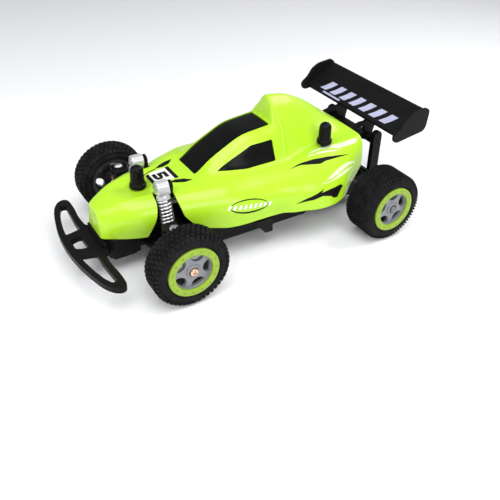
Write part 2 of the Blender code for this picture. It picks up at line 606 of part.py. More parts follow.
def build_shock(side):
    """Barrel with its eye, spring, and rod with its lower seat and eye, drawn on the left of the car."""
    label = "left" if side > 0 else "right"
    rod_empty = joint_empty("rod_slide_" + label, (SHOCK_X, side * SHOCK_FOOT[0], SHOCK_FOOT[1]))

    def put(name, bm, colour, parent=None):
        publish(name + "_" + label, bm if side > 0 else mirrored(bm), colour, parent)

    eye = cylinder("X", SHOCK_TOP, 4.8, SHOCK_X - 4.3, SHOCK_X + 4.3, 16)
    barrel = join(eye, bar(along_shock(0), along_shock(8.2), 4.9, 16), bar(along_shock(7), along_shock(14), 2.7, 12))
    barrel = cut(barrel, cylinder("X", SHOCK_TOP, 1.7, 140, 165, 12), bar(along_shock(6.5), along_shock(16), 1.95))
    put("shock_barrel", barrel, "silver_plastic")

    turns, start, end, coil = 6.5, 9.1, 24.0, 4.15
    steps = int(turns * 8)
    path = []
    outward = Vector(along_shock(0, 1)) - Vector(along_shock(0))
    for i in range(steps + 1):
        angle = 2 * math.pi * turns * i / steps
        middle = Vector(along_shock(start + (end - start) * i / steps))
        path.append(middle + outward * coil * math.cos(angle) + Vector((coil * math.sin(angle), 0, 0)))
    put("shock_spring", swept(path, 0.7, 4), "steel")

    seat = bar(along_shock(25.1), along_shock(26.7), 4.6, 16)
    shaft = bar(along_shock(11), along_shock(33), 1.6, 10)
    foot = cylinder("X", SHOCK_FOOT, 3.2, SHOCK_X - 2.2, SHOCK_X + 2.2, 16)
    rod = cut(join(seat, shaft, foot), cylinder("X", SHOCK_FOOT, 1.75, 140, 165, 12))
    put("shock_rod", rod, "black_plastic", rod_empty)


def build_shock_tower():
    half = [(8, FLOOR_Z + FLOOR + GAP), (8, 27), (13, 31.5), (14, 42), (20, 50), (22.6, 55), (22.9, 59.5),
            (21.6, 61.5), (18.2, 61.5), (16.6, 59.5), (16.2, 51.6)]
    outline = half + [(-y, z) for y, z in reversed(half)]
    pins = [cylinder("X", (side * SHOCK_TOP[0], SHOCK_TOP[1]), 1.3, 146.5, 157.4, 12) for side in (1, -1)]
    publish("shock_tower", join(prism(outline, "X", 146.1, 147.7), *pins), "black_plastic")


def build_steering():
    servo_x = TIE_ROD_X - LEVER
    servo_empty = joint_empty("servo_axis", (servo_x, 0, TIE_ROD_Z))
    rod_empty = joint_empty("tie_rod_slide", (TIE_ROD_X, 0, TIE_ROD_Z))
    low, high = TIE_ROD_Z - 1.1, TIE_ROD_Z + 1.1
    rod = box((TIE_ROD_X - 1.4, TIE_ROD_X + 1.4), (-43.5, 43.5), (low, high))
    eyes = [cylinder("Z", (TIE_ROD_X, y), 3.1, low, high, 14) for y in (-44.6, 0, 44.6)]
    bores = [cylinder("Z", (TIE_ROD_X, y), 2.3, low - 2, high + 2, 10) for y in (-44.6, 0, 44.6)]
    publish("tie_rod", cut(join(rod, *eyes), *bores), "black_plastic", rod_empty)

    case = box((114.5, 133.5), (-9, 9), (13.1, 27))
    publish("steering_servo", join(case, cylinder("Z", (servo_x, 0), 4, 26.5, 28.5, 16)), "black_plastic")
    horn = prism([(servo_x - 2.5, -3), (servo_x - 2.5, 3), (TIE_ROD_X, 1.8), (TIE_ROD_X + 1.6, 0), (TIE_ROD_X, -1.8)],
                 "Z", 31.3, 33.3)
    horn = join(horn, cylinder("Z", (servo_x, 0), 3, 28.8, 32, 16), cylinder("Z", (TIE_ROD_X, 0), 0.8, 28.8, 32, 10))
    publish("servo_horn", horn, "white_plastic", servo_empty)


# ---------------------------------------------------------------- drive train

def gear(centre, teeth, low, high, bore, phase):
    """A spur gear across Y with a tooth centred at the phase angle."""
    pitch = MODULE * teeth / 2
    tip, root = pitch + 0.9 * MODULE, pitch - 1.25 * MODULE
    step = 2 * math.pi / teeth
    outline = []
    for k in range(teeth):
        middle = phase + k * step
        for share, radius in ((-0.29, root), (-0.12, tip), (0.12, tip), (0.29, root)):
            angle = middle + share * step
            outline.append((centre[0] + radius * math.cos(angle), centre[1] + radius * math.sin(angle)))
    bm = prism(outline, "Y", low, high)
    if bore:
        bm = cut(bm, cylinder("Y", centre, bore, low - 5, high + 5, 12))
    return bm


def build_drive():
    axle = (0.0, AXLE_Z)
    axle_empty = joint_empty("rear_axle_hinge", (0, 0, AXLE_Z))
    counter_empty = joint_empty("countershaft_hinge", (COUNTERSHAFT[0], 0, COUNTERSHAFT[1]))
    pinion_empty = joint_empty("pinion_hinge", (MOTOR[0], 0, MOTOR[1]))

    publish("rear_axle", cylinder("Y", axle, 1.5, -76.9, 76.9, 16), "steel", axle_empty)
    publish("drive_gear", gear(axle, AXLE_TEETH, -8, -4, 1.8, COUNTERSHAFT_ANGLE), "white_plastic", axle_empty)

    small_phase = COUNTERSHAFT_ANGLE + math.pi + math.pi / SMALL_TEETH
    small = gear(COUNTERSHAFT, SMALL_TEETH, -9.4, -3.6, 0, small_phase)
    big = gear(COUNTERSHAFT, BIG_TEETH, -12.4, -9.2, 0, PINION_ANGLE)
    compound = cut(join(big, small), cylinder("Y", COUNTERSHAFT, 1.5, -20, 0, 12))
    publish("compound_gear", compound, "white_plastic", counter_empty)

    pinion_phase = PINION_ANGLE + math.pi + math.pi / PINION_TEETH
    pinion = join(gear(MOTOR, PINION_TEETH, -12.4, -9, 0, pinion_phase), cylinder("Y", MOTOR, 1.0, -10, 0.6, 12))
    publish("motor_pinion", pinion, "brass", pinion_empty)
    motor = [(0.9, 0), (0.9, 3), (2.4, 3), (2.4, 9.7), (19.8, 9.7), (19.8, 3.5), (21.8, 3.5), (21.8, 0)]
    publish("motor", turned(motor, MOTOR, 16), "steel")

    outline = [(-14, 13.1), (29.8, 13.1), (30.6, 36), (20.5, 50), (9, 53.2), (-3.5, 51.8), (-14, 33)]
    inner = offset_outline(outline, -1.0, True)
    axle_hole = cylinder("Y", axle, 2.3, -30, 40, 16)
    housing = cut(prism(outline, "Y", -1.4, 23.4), prism(inner, "Y", -5, 22.2), axle_hole)
    publish("gearbox_housing", housing, "black_plastic")
    cover = cut(prism(outline, "Y", -16, -1.7), prism(inner, "Y", -14.8, 5), cylinder("Y", axle, 2.3, -30, 40, 16))
    publish("gearbox_cover", join(cover, cylinder("Y", COUNTERSHAFT, 1.15, -15.2, -2.2, 12)), "black_plastic")

    for side, name in ((1, "left"), (-1, "right")):
        build_wheel("rear_" + name, 0.0, REAR_FACE_Y, REAR_TYRE_WIDTH, math.radians(162), side, axle_empty)
        nut = join(prism(circle(axle, 2.9, 6), "Y", 77.2, 79.2), cylinder("Y", axle, 2.2, 79, 79.8, 12))
        publish("wheel_nut_" + name, nut if side > 0 else mirrored(nut), "steel", axle_empty)


# ---------------------------------------------------------------- power and electronics

def build_power():
    publish("battery_pack", box((60, 110), (-16.4, 16.4), (13.1, 31)), "battery_wrap")
    door = box((58.4, 111.6), (-16.6, 16.6), (FLOOR_Z, 12.6))
    tongue = box((54, 59), (-3.5, 3.5), (13.1, 14.4))
    bridge = box((58.4, 59.2), (-3.5, 3.5), (12, 14.4))
    door = cut(join(door, bridge, tongue), cylinder("Z", (55.5, 0), 1.3, 10, 20, 12))
    publish("battery_door", door, "black_plastic")
    head = [(9.9, 0), (9.9, 1.6), (10.7, 2.4), (10.7, 1.0), (16, 1.0), (16, 0)]
    publish("battery_door_screw", turned(head, (55.5, 0), 12, "Z"), "steel")
    switch_empty = joint_empty("switch_slide", (49.4, 8, FLOOR_Z))
    knob = join(box((47.4, 51.4), (6.5, 9.5), (10.1, 14)), box((45.5, 53), (4.5, 11.5), (13.1, 15)))
    publish("power_switch", knob, "grey_plastic", switch_empty)
    board = box((62, 106), (-15, 15), (33, 34.6))
    chips = [box((70, 78), (-6, 2), (34, 36.5)), box((86, 96), (3, 10), (34, 38)),
             box((100, 104.5), (-12, -4), (34, 40))]
    legs = [box((x, x + 2), (y, y + 2), (31.3, 33.5)) for x in (64, 102) for y in (-13, 11)]
    publish("circuit_board", join(board, *chips, *legs), "board_green")


clear_scene()
build_shell()
build_posts()
build_chassis()
build_bumper()
build_wing()
for car_side in (1, -1):
    build_front_corner(car_side)
    build_shock(car_side)
build_shock_tower()
build_steering()
build_drive()
build_power()
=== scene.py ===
# %% [markdown]
# # A toy racing buggy
# The buggy is a lime shell on a black chassis, with knobbly tyres, silver shocks and a rear wing. Its solid
# parts come from an engineering model that also says what turns on what. This script keeps every part in
# its place and gives it the surface that you would hold in your hand.

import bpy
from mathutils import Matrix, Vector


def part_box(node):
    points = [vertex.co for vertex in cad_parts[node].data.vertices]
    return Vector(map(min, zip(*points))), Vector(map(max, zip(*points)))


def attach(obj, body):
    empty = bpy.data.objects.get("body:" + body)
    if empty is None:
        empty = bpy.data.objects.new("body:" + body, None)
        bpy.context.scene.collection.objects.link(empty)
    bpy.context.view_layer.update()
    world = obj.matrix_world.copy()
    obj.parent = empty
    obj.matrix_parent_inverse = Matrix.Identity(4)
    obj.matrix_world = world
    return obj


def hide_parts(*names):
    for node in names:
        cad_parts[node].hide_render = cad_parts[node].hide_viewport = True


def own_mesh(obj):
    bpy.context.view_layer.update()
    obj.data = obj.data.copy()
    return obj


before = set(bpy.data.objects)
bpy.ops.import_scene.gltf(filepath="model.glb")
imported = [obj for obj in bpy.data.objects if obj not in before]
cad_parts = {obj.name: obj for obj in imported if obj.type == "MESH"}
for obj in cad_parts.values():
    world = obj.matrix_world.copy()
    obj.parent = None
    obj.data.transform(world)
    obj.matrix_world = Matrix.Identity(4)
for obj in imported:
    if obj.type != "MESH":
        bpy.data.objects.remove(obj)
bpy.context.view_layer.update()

# %% [markdown]
# The script works in millimetres, with x measured forward from the rear axle, y to the left and z up,
# because that is how a model car is drawn. `metres` turns such a point into the engineering model's frame.
# The wheels give the two axles, so nothing is fitted by eye.

# %% Units and the two axles
import math

import bmesh
import bpy
import numpy as np
from mathutils import Matrix, Vector
from mathutils.bvhtree import BVHTree

MM = 0.001


def middle(node):
    low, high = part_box(node)
    return (low + high) / 2


REAR_AXLE_X = middle("rear_axle").x
AXLE_Z = middle("rear_axle").z / MM
WHEELBASE = (middle("kingpin_left").x - REAR_AXLE_X) / MM
KINGPIN_Y = middle("kingpin_left").y / MM
TYRE_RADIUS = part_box("tyre_rear_left")[1].z / MM / 2
FRONT_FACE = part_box("bead_ring_front_left")[1].y / MM
REAR_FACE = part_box("bead_ring_rear_left")[1].y / MM
FRONT_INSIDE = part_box("tyre_front_left")[0].y / MM
REAR_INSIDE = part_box("tyre_rear_left")[0].y / MM


def metres(x, y, z):
    return Vector((REAR_AXLE_X + x * MM, y * MM, z * MM))


print("wheelbase %.1f mm, tyres %.1f mm" % (WHEELBASE, 2 * TYRE_RADIUS))

# %% [markdown]
# A material is a web of nodes. Written out node by node it is hard to read, so `Value` wraps one output
# socket and lets plain arithmetic add the Math nodes: `0.2 + 0.1 * grain`, or `1 - mask`. Only single
# numbers go this way, because a Math node would turn a colour grey.

# %% Arithmetic on sockets
class Value:
    """One output socket that can be added, multiplied and so on."""

    def __init__(self, finish, socket):
        self.finish = finish
        self.socket = socket

    def math(self, operation, *others):
        return self.finish.math(operation, self, *others)

    def __add__(self, other):
        return self.math("ADD", other)

    def __radd__(self, other):
        return self + other

    def __mul__(self, other):
        return self.math("MULTIPLY", other)

    def __rmul__(self, other):
        return self * other

    def __sub__(self, other):
        return self.math("SUBTRACT", other)

    def __rsub__(self, other):
        return self.finish.math("SUBTRACT", other, self)

    def __truediv__(self, other):
        return self.math("DIVIDE", other)

    def __rtruediv__(self, other):
        return self.finish.math("DIVIDE", other, self)


print("sockets can be added, subtracted, multiplied and divided")

# %% [markdown]
# `Finish` is one Principled material. Its `node` method makes any node: the settings go in first, because a
# Mix node has to know what it mixes before its sockets are fed. The methods after it are the few webs that
# every surface of the car shares: a position, a soft noise, a ramp, a blend of two colours and a relief.

# %% One material and its nodes
class Finish:
    """A Principled material with helpers for its nodes."""

    def __init__(self, name, colour, roughness, metallic=0.0, coat=0.0, sheen=0.5):
        self.material = bpy.data.materials.new(name)
        self.material.use_nodes = True
        self.tree = self.material.node_tree
        self.shader = self.tree.nodes["Principled BSDF"]
        self.set("Base Color", (*colour, 1))
        self.set("Roughness", roughness)
        self.set("Metallic", metallic)
        self.set("Coat Weight", coat)
        self.set("Specular IOR Level", sheen)

    def node(self, kind, settings=None, inputs=None, output=0):
        """Any node: its settings first, then the values or links of its sockets."""
        made = self.tree.nodes.new(kind)
        for key, value in (settings or {}).items():
            if key == "stops":
                self.set_stops(made, value)
            else:
                setattr(made, key, value)
        for key, value in (inputs or {}).items():
            self.feed(made.inputs[key], value)
        return Value(self, made.outputs[output])

    def math(self, operation, *values):
        return self.node("ShaderNodeMath", {"operation": operation}, dict(enumerate(values)))

    def set_stops(self, ramp, stops):
        while len(ramp.color_ramp.elements) < len(stops):
            ramp.color_ramp.elements.new(1)
        for element, (place, level) in zip(ramp.color_ramp.elements, stops):
            element.position = place
            element.color = (level, level, level, 1)

    def feed(self, socket, value):
        if isinstance(value, Value):
            self.tree.links.new(value.socket, socket)
        else:
            socket.default_value = value

    def set(self, name, value):
        self.feed(self.shader.inputs[name], value)

    def place(self):
        """The point's own position in its piece, in metres."""
        return self.node("ShaderNodeTexCoord", output=3)

    def coordinates(self):
        """That position's x, y and z, as three values."""
        split = self.node("ShaderNodeSeparateXYZ", {}, {0: self.place()}).socket.node
        return [Value(self, output) for output in split.outputs]

    def grain(self, size, detail=3.0, roughness=0.5, stretch=(1, 1, 1)):
        """Soft noise from 0 to 1 whose blobs are about that many millimetres across."""
        where = self.node("ShaderNodeVectorMath", {"operation": "MULTIPLY"}, {0: self.place(), 1: stretch})
        return self.node("ShaderNodeTexNoise", {}, {"Vector": where, "Scale": 1 / (size * MM),
                                                    "Detail": detail, "Roughness": roughness})

    def ramp(self, value, *stops):
        return self.node("ShaderNodeValToRGB", {"stops": stops}, {"Fac": value})

    def blend(self, share, colour, other):
        """The first colour where share is 0 and the second where it is 1."""
        return self.node("ShaderNodeMix", {"data_type": "RGBA"},
                         {0: share, 6: colour if isinstance(colour, Value) else (*colour, 1),
                          7: other if isinstance(other, Value) else (*other, 1)}, output=2)

    def bump(self, height, depth, strength=1.0):
        """Relief that many millimetres deep."""
        self.set("Normal", self.node("ShaderNodeBump", {},
                                     {"Height": height, "Distance": depth * MM, "Strength": strength}))


trial = Finish("trial", (0.5, 0.5, 0.5), 0.5)
print("a new finish has", len(trial.tree.nodes), "nodes, and its shader", len(trial.shader.inputs), "inputs")
bpy.data.materials.remove(trial.material)

# %% [markdown]
# Each finish below is one real surface. Injection-moulded plastic is never quite flat: it has a faint
# orange peel, flow marks and a roughness that drifts. So each finish has a slow noise in its colour,
# another in its roughness and a fine one in its relief. The shell's paint also has a thin clear coat.

# %% Painted lime shell
LIME = (0.43, 0.73, 0.022)
LIME_DEEP = (0.36, 0.66, 0.014)


def lime_paint():
    paint = Finish("lime_paint", LIME, 0.25, coat=0.2, sheen=0.4)
    drift = paint.grain(38, 2)
    paint.set("Base Color", paint.blend(paint.ramp(drift, (0.35, 0.0), (0.75, 0.55)), LIME, LIME_DEEP))
    haze = paint.grain(9, 4, stretch=(0.35, 1, 1))
    paint.set("Roughness", 0.20 + 0.14 * haze)
    peel = paint.grain(1.6, 2)
    paint.bump(peel, 0.012)
    paint.shader.inputs["Coat Roughness"].default_value = 0.12
    return paint.material


LIME_SHELL = lime_paint()
print("shell:", LIME_SHELL.name)

# %% [markdown]
# The rings that hold the tyres on are satin lime plastic with a circle of shallow dimples. The dimples are
# too small to be worth modelling, so they are made in the material: the angle round the axle is folded into
# one dimple's share, and the distance from that dimple's middle dents the relief and paints shade into it.

# %% Dimpled lime rings
DIMPLES = 15
DIMPLE_CIRCLE = 15.1           # radius of the circle that the dimples lie on
DIMPLE_REACH = 0.9             # radius of one dimple


def lime_ring_plastic(axle_x):
    """The ring's plastic, dimpled round the axle that crosses the car at that x, in metres."""
    ring = Finish("lime_ring_plastic", (0.33, 0.52, 0.012), 0.42, coat=0.1)
    cloud = ring.grain(4, 4)
    x, _, z = ring.coordinates()
    across = x - axle_x
    up = z - AXLE_Z * MM
    radius = (across * across + up * up).math("SQRT")
    turn = up.math("ARCTAN2", across) * (DIMPLES / (2 * math.pi))
    along = (turn.math("FRACT") - 0.5) * (2 * math.pi * DIMPLE_CIRCLE * MM / DIMPLES)
    outward = radius - DIMPLE_CIRCLE * MM
    distance = (along * along + outward * outward).math("SQRT")
    dimple_and_shade = ring.ramp(distance / (DIMPLE_REACH * MM), (0.55, 1.0), (1.0, 0.0))
    base = ring.blend(ring.ramp(cloud, (0.3, 0.0), (0.8, 0.6)), (0.27, 0.43, 0.014), (0.20, 0.33, 0.010))
    # painted shade: the colour darkens towards a deep lime in the middle of each dimple, where shade would
    # fall
    ring.set("Base Color", ring.blend(dimple_and_shade * 0.55, base, (0.11, 0.18, 0.006)))
    ring.set("Roughness", 0.36 + 0.2 * cloud)
    ring.bump(dimple_and_shade * -1, 0.25)
    return ring.material


REAR_RING = lime_ring_plastic(REAR_AXLE_X)
FRONT_RING = lime_ring_plastic(REAR_AXLE_X + WHEELBASE * MM)
print("rings:", REAR_RING.name, FRONT_RING.name)

# %% [markdown]
# The chassis, the wing, the caps and the window panels are all black, yet each looks different. What tells
# them apart is how rough they are and how fine their grain is, so one function makes them all. Tyre rubber
# is duller, with a pale bloom in patches.

# %% Black plastics and rubber
def black_plastic(name, level, roughness, grain_size, relief):
    plastic = Finish(name, (level, level, level * 1.08), roughness, sheen=0.1)
    cloud = plastic.grain(14, 4)
    dark, light = (level * 0.75,) * 3, (level * 1.5, level * 1.5, level * 1.6)
    plastic.set("Base Color", plastic.blend(cloud, dark, light))
    plastic.set("Roughness", roughness - 0.08 + 0.18 * cloud)
    plastic.bump(plastic.grain(grain_size, 3), relief)
    return plastic.material


def tyre_rubber():
    rubber = Finish("tyre_rubber", (0.012, 0.012, 0.013), 0.7, sheen=0.1)
    bloom = rubber.grain(7, 5, 0.6)
    rubber.set("Base Color", rubber.blend(rubber.ramp(bloom, (0.4, 0.0), (0.75, 1.0)),
                                          (0.006, 0.006, 0.007), (0.017, 0.017, 0.018)))
    rubber.set("Roughness", 0.58 + 0.25 * bloom)
    rubber.bump(rubber.grain(0.7, 4), 0.05)
    return rubber.material


CHASSIS_BLACK = black_plastic("chassis_black", 0.005, 0.4, 0.8, 0.03)
WING_BLACK = black_plastic("wing_black", 0.006, 0.46, 0.6, 0.03)
WINDOW_BLACK = black_plastic("window_black", 0.004, 0.2, 2.5, 0.006)
CAP_RUBBER = black_plastic("cap_rubber", 0.004, 0.26, 1.2, 0.02)
STICKER_BLACK = black_plastic("sticker_black", 0.005, 0.34, 1.5, 0.006)
TYRE = tyre_rubber()
print("finishes so far:", len(bpy.data.materials))

# %% [markdown]
# The rest are small parts: grey spokes, silver-painted shock caps, bright spring wire, printed film, gears
# and screws. One function does for everything moulded or plated. Machined steel gets its own, whose noise
# is stretched into fine streaks that run across the car.

# %% Greys, silvers and other small parts
def moulded(name, colour, roughness, relief=0.02, metallic=0.0, coat=0.0, grain_size=0.9):
    """A plain moulded or plated surface: slow drift in colour and gloss, and a fine grain."""
    plain = Finish(name, colour, roughness, metallic, coat)
    cloud = plain.grain(6, 4)
    dark = tuple(0.82 * c for c in colour)
    light = tuple(min(1.0, 1.1 * c) for c in colour)
    plain.set("Base Color", plain.blend(cloud, dark, light))
    plain.set("Roughness", max(0.04, roughness - 0.06) + 0.14 * cloud)
    plain.bump(plain.grain(grain_size, 2), relief)
    return plain.material


def brushed(name, colour, roughness):
    """Machined steel: fine streaks that run across the car."""
    metal = Finish(name, colour, roughness, 1.0)
    streak = metal.grain(0.5, 2, stretch=(1, 0.2, 1))
    metal.set("Roughness", roughness - 0.05 + 0.2 * streak)
    metal.bump(streak, 0.006)
    return metal.material


STICKER_WHITE = moulded("sticker_white", (0.86, 0.87, 0.84), 0.32, 0.004, grain_size=1.5)
FLASH_WHITE = moulded("flash_white", (0.74, 0.84, 0.50), 0.34, 0.004, grain_size=1.5)
WING_SILVER = moulded("wing_silver", (0.44, 0.45, 0.62), 0.38, 0.004, grain_size=1.5)
STAR_GREY = moulded("star_grey", (0.24, 0.24, 0.27), 0.36, 0.02, coat=0.1)
# painted shade: the near-black given to the rim's faces inside the wheel, behind the star
RIM_PAINTED_SHADE = moulded("rim_painted_shade", (0.035, 0.035, 0.038), 0.5, 0.02)
SILVER_PAINT = moulded("silver_paint", (0.66, 0.66, 0.68), 0.30, 0.02, metallic=0.55, coat=0.2)
SPRING_STEEL = moulded("spring_steel", (0.74, 0.74, 0.76), 0.22, 0.008, metallic=0.9)
BOLT_STEEL = brushed("bolt_steel", (0.50, 0.50, 0.52), 0.36)
NUT_STEEL = moulded("nut_steel", (0.20, 0.20, 0.22), 0.3, 0.01, metallic=0.8)
SCREW_BRASS = moulded("screw_brass", (0.78, 0.56, 0.38), 0.28, 0.01, metallic=0.85)
GEAR_WHITE = moulded("gear_white", (0.80, 0.80, 0.76), 0.4)
PACK_WRAP = moulded("pack_wrap", (0.04, 0.12, 0.42), 0.3, coat=0.4)
BOARD_GREEN = moulded("board_green", (0.02, 0.20, 0.07), 0.45)
print("finishes:", len(bpy.data.materials))

# %% [markdown]
# Every piece goes through `make`: points in millimetres, faces, a finish, the body that it rides on and the
# engineering parts that it stands for. `straighten` also sorts out which way the faces look, so a mirrored
# piece needs no special care.

# %% Making a piece
JOIN_WITHIN = 2e-6             # metres: points that are nearer than this become one
EDGE_ANGLE = 35                # degrees: faces that meet at more than this meet at an edge


def straighten(mesh, merge=True, flatten=False):
    """Merge doubled points and, if asked, flat faces, and turn every face outwards."""
    bm = bmesh.new()
    bm.from_mesh(mesh)
    if merge:
        bmesh.ops.remove_doubles(bm, verts=bm.verts, dist=JOIN_WITHIN)
    if flatten:
        bmesh.ops.dissolve_limit(bm, angle_limit=math.radians(0.5), verts=bm.verts, edges=bm.edges)
    bmesh.ops.recalc_face_normals(bm, faces=bm.faces)
    bm.to_mesh(mesh)
    bm.free()


def mesh_of(name, points, faces, merge=True):
    mesh = bpy.data.meshes.new(name)
    mesh.from_pydata([metres(*p) for p in points], [], faces)
    straighten(mesh, merge)
    return mesh


def smooth(piece, sharp=EDGE_ANGLE):
    """Smooth shading, but for edges that turn by more than that many degrees."""
    piece.data.shade_smooth()
    piece.data.set_sharp_from_angle(angle=math.radians(sharp))


def adopt(piece, finishes, body, slot, stands_for=()):
    """Give a mesh object its finish, its smooth shading and its place among the bodies."""
    bpy.context.scene.collection.objects.link(piece)
    piece.data.materials.clear()
    for finish in finishes if isinstance(finishes, (list, tuple)) else [finishes]:
        piece.data.materials.append(finish)
    smooth(piece)
    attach(piece, body)
    if stands_for:
        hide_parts(*stands_for)
    return piece


def make(name, points, faces, finishes, body, slot, stands_for=()):
    """Points in millimetres and faces become a finished piece."""
    piece = bpy.data.objects.new(name, mesh_of(name, points, faces))
    return adopt(piece, finishes, body, slot, stands_for)


# %% [markdown]
# A moulded part has no knife edges and often has holes. A Bevel modifier rounds the edges and stays live. A
# hole is cut with a Boolean whose result is kept at once, so that the next hole starts from a plain mesh.

# %% Soft edges and cut holes
def soften(piece, width, segments=3, angle=EDGE_ANGLE):
    """Round the piece's edges with a bevel that many millimetres wide."""
    bevel = piece.modifiers.new("soft edges", "BEVEL")
    bevel.width = width * MM
    bevel.segments = segments
    bevel.limit_method = "ANGLE"
    bevel.angle_limit = math.radians(angle)
    bevel.harden_normals = True
    return piece


def cut(piece, tools, sharp=EDGE_ANGLE):
    """Cut solids out of a piece and keep the result as its mesh."""
    for points, faces in tools:
        tool = bpy.data.objects.new("tool", mesh_of("tool", points, faces, merge=False))
        bpy.context.scene.collection.objects.link(tool)
        step = piece.modifiers.new("step", "BOOLEAN")
        step.object = tool
        result = bpy.data.meshes.new_from_object(piece.evaluated_get(bpy.context.evaluated_depsgraph_get()))
        piece.modifiers.remove(step)
        piece.data = result
        bpy.data.objects.remove(tool)
    smooth(piece, sharp)


print("edges are bevelled where faces meet at more than", EDGE_ANGLE, "degrees")

# %% [markdown]
# Three shapes cover most of the car: an outline pushed along an axis, a profile spun about an axle, and an
# outline whose corners are rounded. They return points and faces, so the same helper can make a piece or
# the tool that cuts one.

# %% Prisms, turned shapes and rounded outlines
def put(axis, u, v, w):
    return {"X": (w, u, v), "Y": (u, w, v), "Z": (u, v, w)}[axis]


def prism(outline, axis, low, high):
    n = len(outline)
    points = [put(axis, u, v, w) for w in (low, high) for u, v in outline]
    faces = [list(range(n))[::-1], list(range(n, 2 * n))]
    faces += [[i, (i + 1) % n, n + (i + 1) % n, n + i] for i in range(n)]
    return points, faces


def turned(profile, centre, steps=64, axis="Y"):
    """Spin (along, radius) points about an axis; a radius of 0 closes the shape at a pole."""
    points, rings = [], []
    for along, radius in profile:
        ring = []
        for i in range(steps if radius else 1):
            angle = 2 * math.pi * i / steps
            ring.append(len(points))
            points.append(put(axis, centre[0] + radius * math.cos(angle),
                              centre[1] + radius * math.sin(angle), along))
        rings.append(ring * (steps if not radius else 1))
    faces = []
    for a, b in zip(rings, rings[1:] + rings[:1]):
        for i in range(steps):
            j = (i + 1) % steps
            corners = list(dict.fromkeys([a[i], a[j], b[j], b[i]]))
            if len(corners) > 2:
                faces.append(corners)
    return points, faces


def circle(centre, radius, count, start=0.0):
    angles = [start + 2 * math.pi * i / count for i in range(count)]
    return [(centre[0] + radius * math.cos(a), centre[1] + radius * math.sin(a)) for a in angles]


print("a ten-sided disc is", len(prism(circle((0, 0), 5, 10), "Z", 0, 1)[1]), "faces")

# %% [markdown]
# An outline is drawn with sharp corners, which are easy to place, and rounded afterwards. The car is the
# same on both sides, so a left-hand shape is drawn once and mirrored.

# %% Rounded corners, mirroring and joining
def rounded(outline, radius, steps=5):
    """Replace each corner by an arc-like curve that starts that far before it."""
    out, n = [], len(outline)
    for i in range(n):
        before, here, after = (Vector(outline[k % n]) for k in (i - 1, i, i + 1))
        start = here + (before - here).normalized() * min(radius, (before - here).length / 2)
        end = here + (after - here).normalized() * min(radius, (after - here).length / 2)
        for k in range(steps + 1):
            t = k / steps
            out.append(tuple(start.lerp(here, t).lerp(here.lerp(end, t), t)))
    return out


def both(shape):
    """The same shape on the other side of the car."""
    points, faces = shape
    return [(x, -y, z) for x, y, z in points], [f[::-1] for f in faces]


def join(*shapes):
    """Several shapes in one mesh."""
    points, faces = [], []
    for more_points, more_faces in shapes:
        base = len(points)
        points += more_points
        faces += [[base + i for i in face] for face in more_faces]
    return points, faces


SIDES = (("left", 1), ("right", -1))


def to_side(shape, side):
    return shape if side > 0 else both(shape)


print("a square with rounded corners has", len(rounded([(0, 0), (9, 0), (9, 9), (0, 9)], 2)), "points")

# %% [markdown]
# ## The shell
# The real shell is one thin moulding, shaped by a few long creases: the ridge, the edge of the canopy, the
# pillar, the belt, the shoulder, the flank and the sill. So it is drawn the way a boat is, as half
# cross-sections that give those seven creases at a few places along the car. A curve through the same
# crease in every section gives the sections between, and each corner of a section is rounded by its own
# amount.

# %% The shell's cross-sections
NOSE_TO_ROOF = [
    (193, [(0, 44.2), (7.1, 43.6), (8.5, 40.5), (9.6, 37), (10.6, 33.5), (11.6, 30), (11.9, 26.6)]),
    (187, [(0, 47.6), (9.3, 46.6), (12, 44), (14, 41), (15.5, 37.5), (16, 33), (15, 26.3)]),
    (178, [(0, 50.2), (12, 50.2), (15.5, 48), (18.5, 45), (20.8, 41), (21.5, 35), (19.5, 26)]),
    (168, [(0, 48.7), (14.3, 51.8), (18, 50), (22, 47.5), (25.5, 43), (26, 36), (23.5, 26)]),
    (159, [(0, 48.3), (15.8, 52.9), (20, 51.3), (24, 49), (27.8, 44), (28.5, 37), (25.5, 27)]),
    (155.2, [(0, 48.3), (15.6, 53.3), (19.7, 52), (23.4, 50), (27.5, 45.7), (29.6, 38.6), (27.2, 28.3)]),
    (153, [(0, 53.4), (15.4, 53.5), (19.5, 52.3), (23, 50.6), (27.4, 46.7), (30.3, 39.5), (28.3, 29)]),
    (147, [(0, 54.1), (15, 54.2), (19, 53.4), (22, 52.3), (27, 49.5), (32, 42), (31, 31)]),
    (128, [(0, 55.3), (12.6, 55.3), (17, 55.4), (22.5, 55.2), (31.5, 53), (39, 44), (37.5, 28.5)]),
    (114, [(0, 65.2), (12.4, 64.8), (17, 62.5), (23.5, 57.4), (35, 54.3), (43.8, 44), (43, 27.5)]),
    (104, [(0, 71), (12.4, 70.5), (17.8, 66.4), (24, 57.3), (35.5, 54), (45.4, 43.5), (44.3, 27.5)]),
    (88, [(0, 78.4), (12.4, 77.8), (18.8, 72.8), (24.3, 57.3), (35.5, 53.8), (45.8, 43), (44.5, 27.5)]),
    (75, [(0, 80), (12.8, 79.4), (19.2, 74.4), (24.8, 57.2), (35.5, 54.5), (47, 43), (45, 27.5)]),
    (65.6, [(0, 81), (13.4, 80.4), (18.6, 75.4), (25.2, 57.2), (35.5, 55.3), (48.8, 43), (48.2, 27)]),
]
HOOP_TO_TAIL = [
    (57.5, [(0, 98.2), (7.4, 91.2), (16.6, 76.2), (25, 57.5), (35.2, 56.4), (50, 43), (50.2, 27)]),
    (50, [(0, 97.4), (7.1, 90.3), (15, 76.4), (24, 58.5), (34, 58.6), (51.8, 43), (53, 27)]),
    (38, [(0, 92.9), (6.5, 86.5), (13.5, 74.5), (22, 60.5), (34.5, 61), (52.5, 43.5), (54.5, 27.5)]),
    (25, [(0, 85.2), (7, 80.5), (14, 71.5), (22, 62.3), (35, 62.8), (50.5, 45), (52, 29)]),
    (12, [(0, 74.6), (8, 73), (15, 68.5), (23, 64.9), (36.5, 64.6), (44.5, 50), (43, 32)]),
    (0, [(0, 67.2), (9, 67.1), (17, 67), (25, 66.8), (35.8, 66.2), (39, 56), (39, 43)]),
]
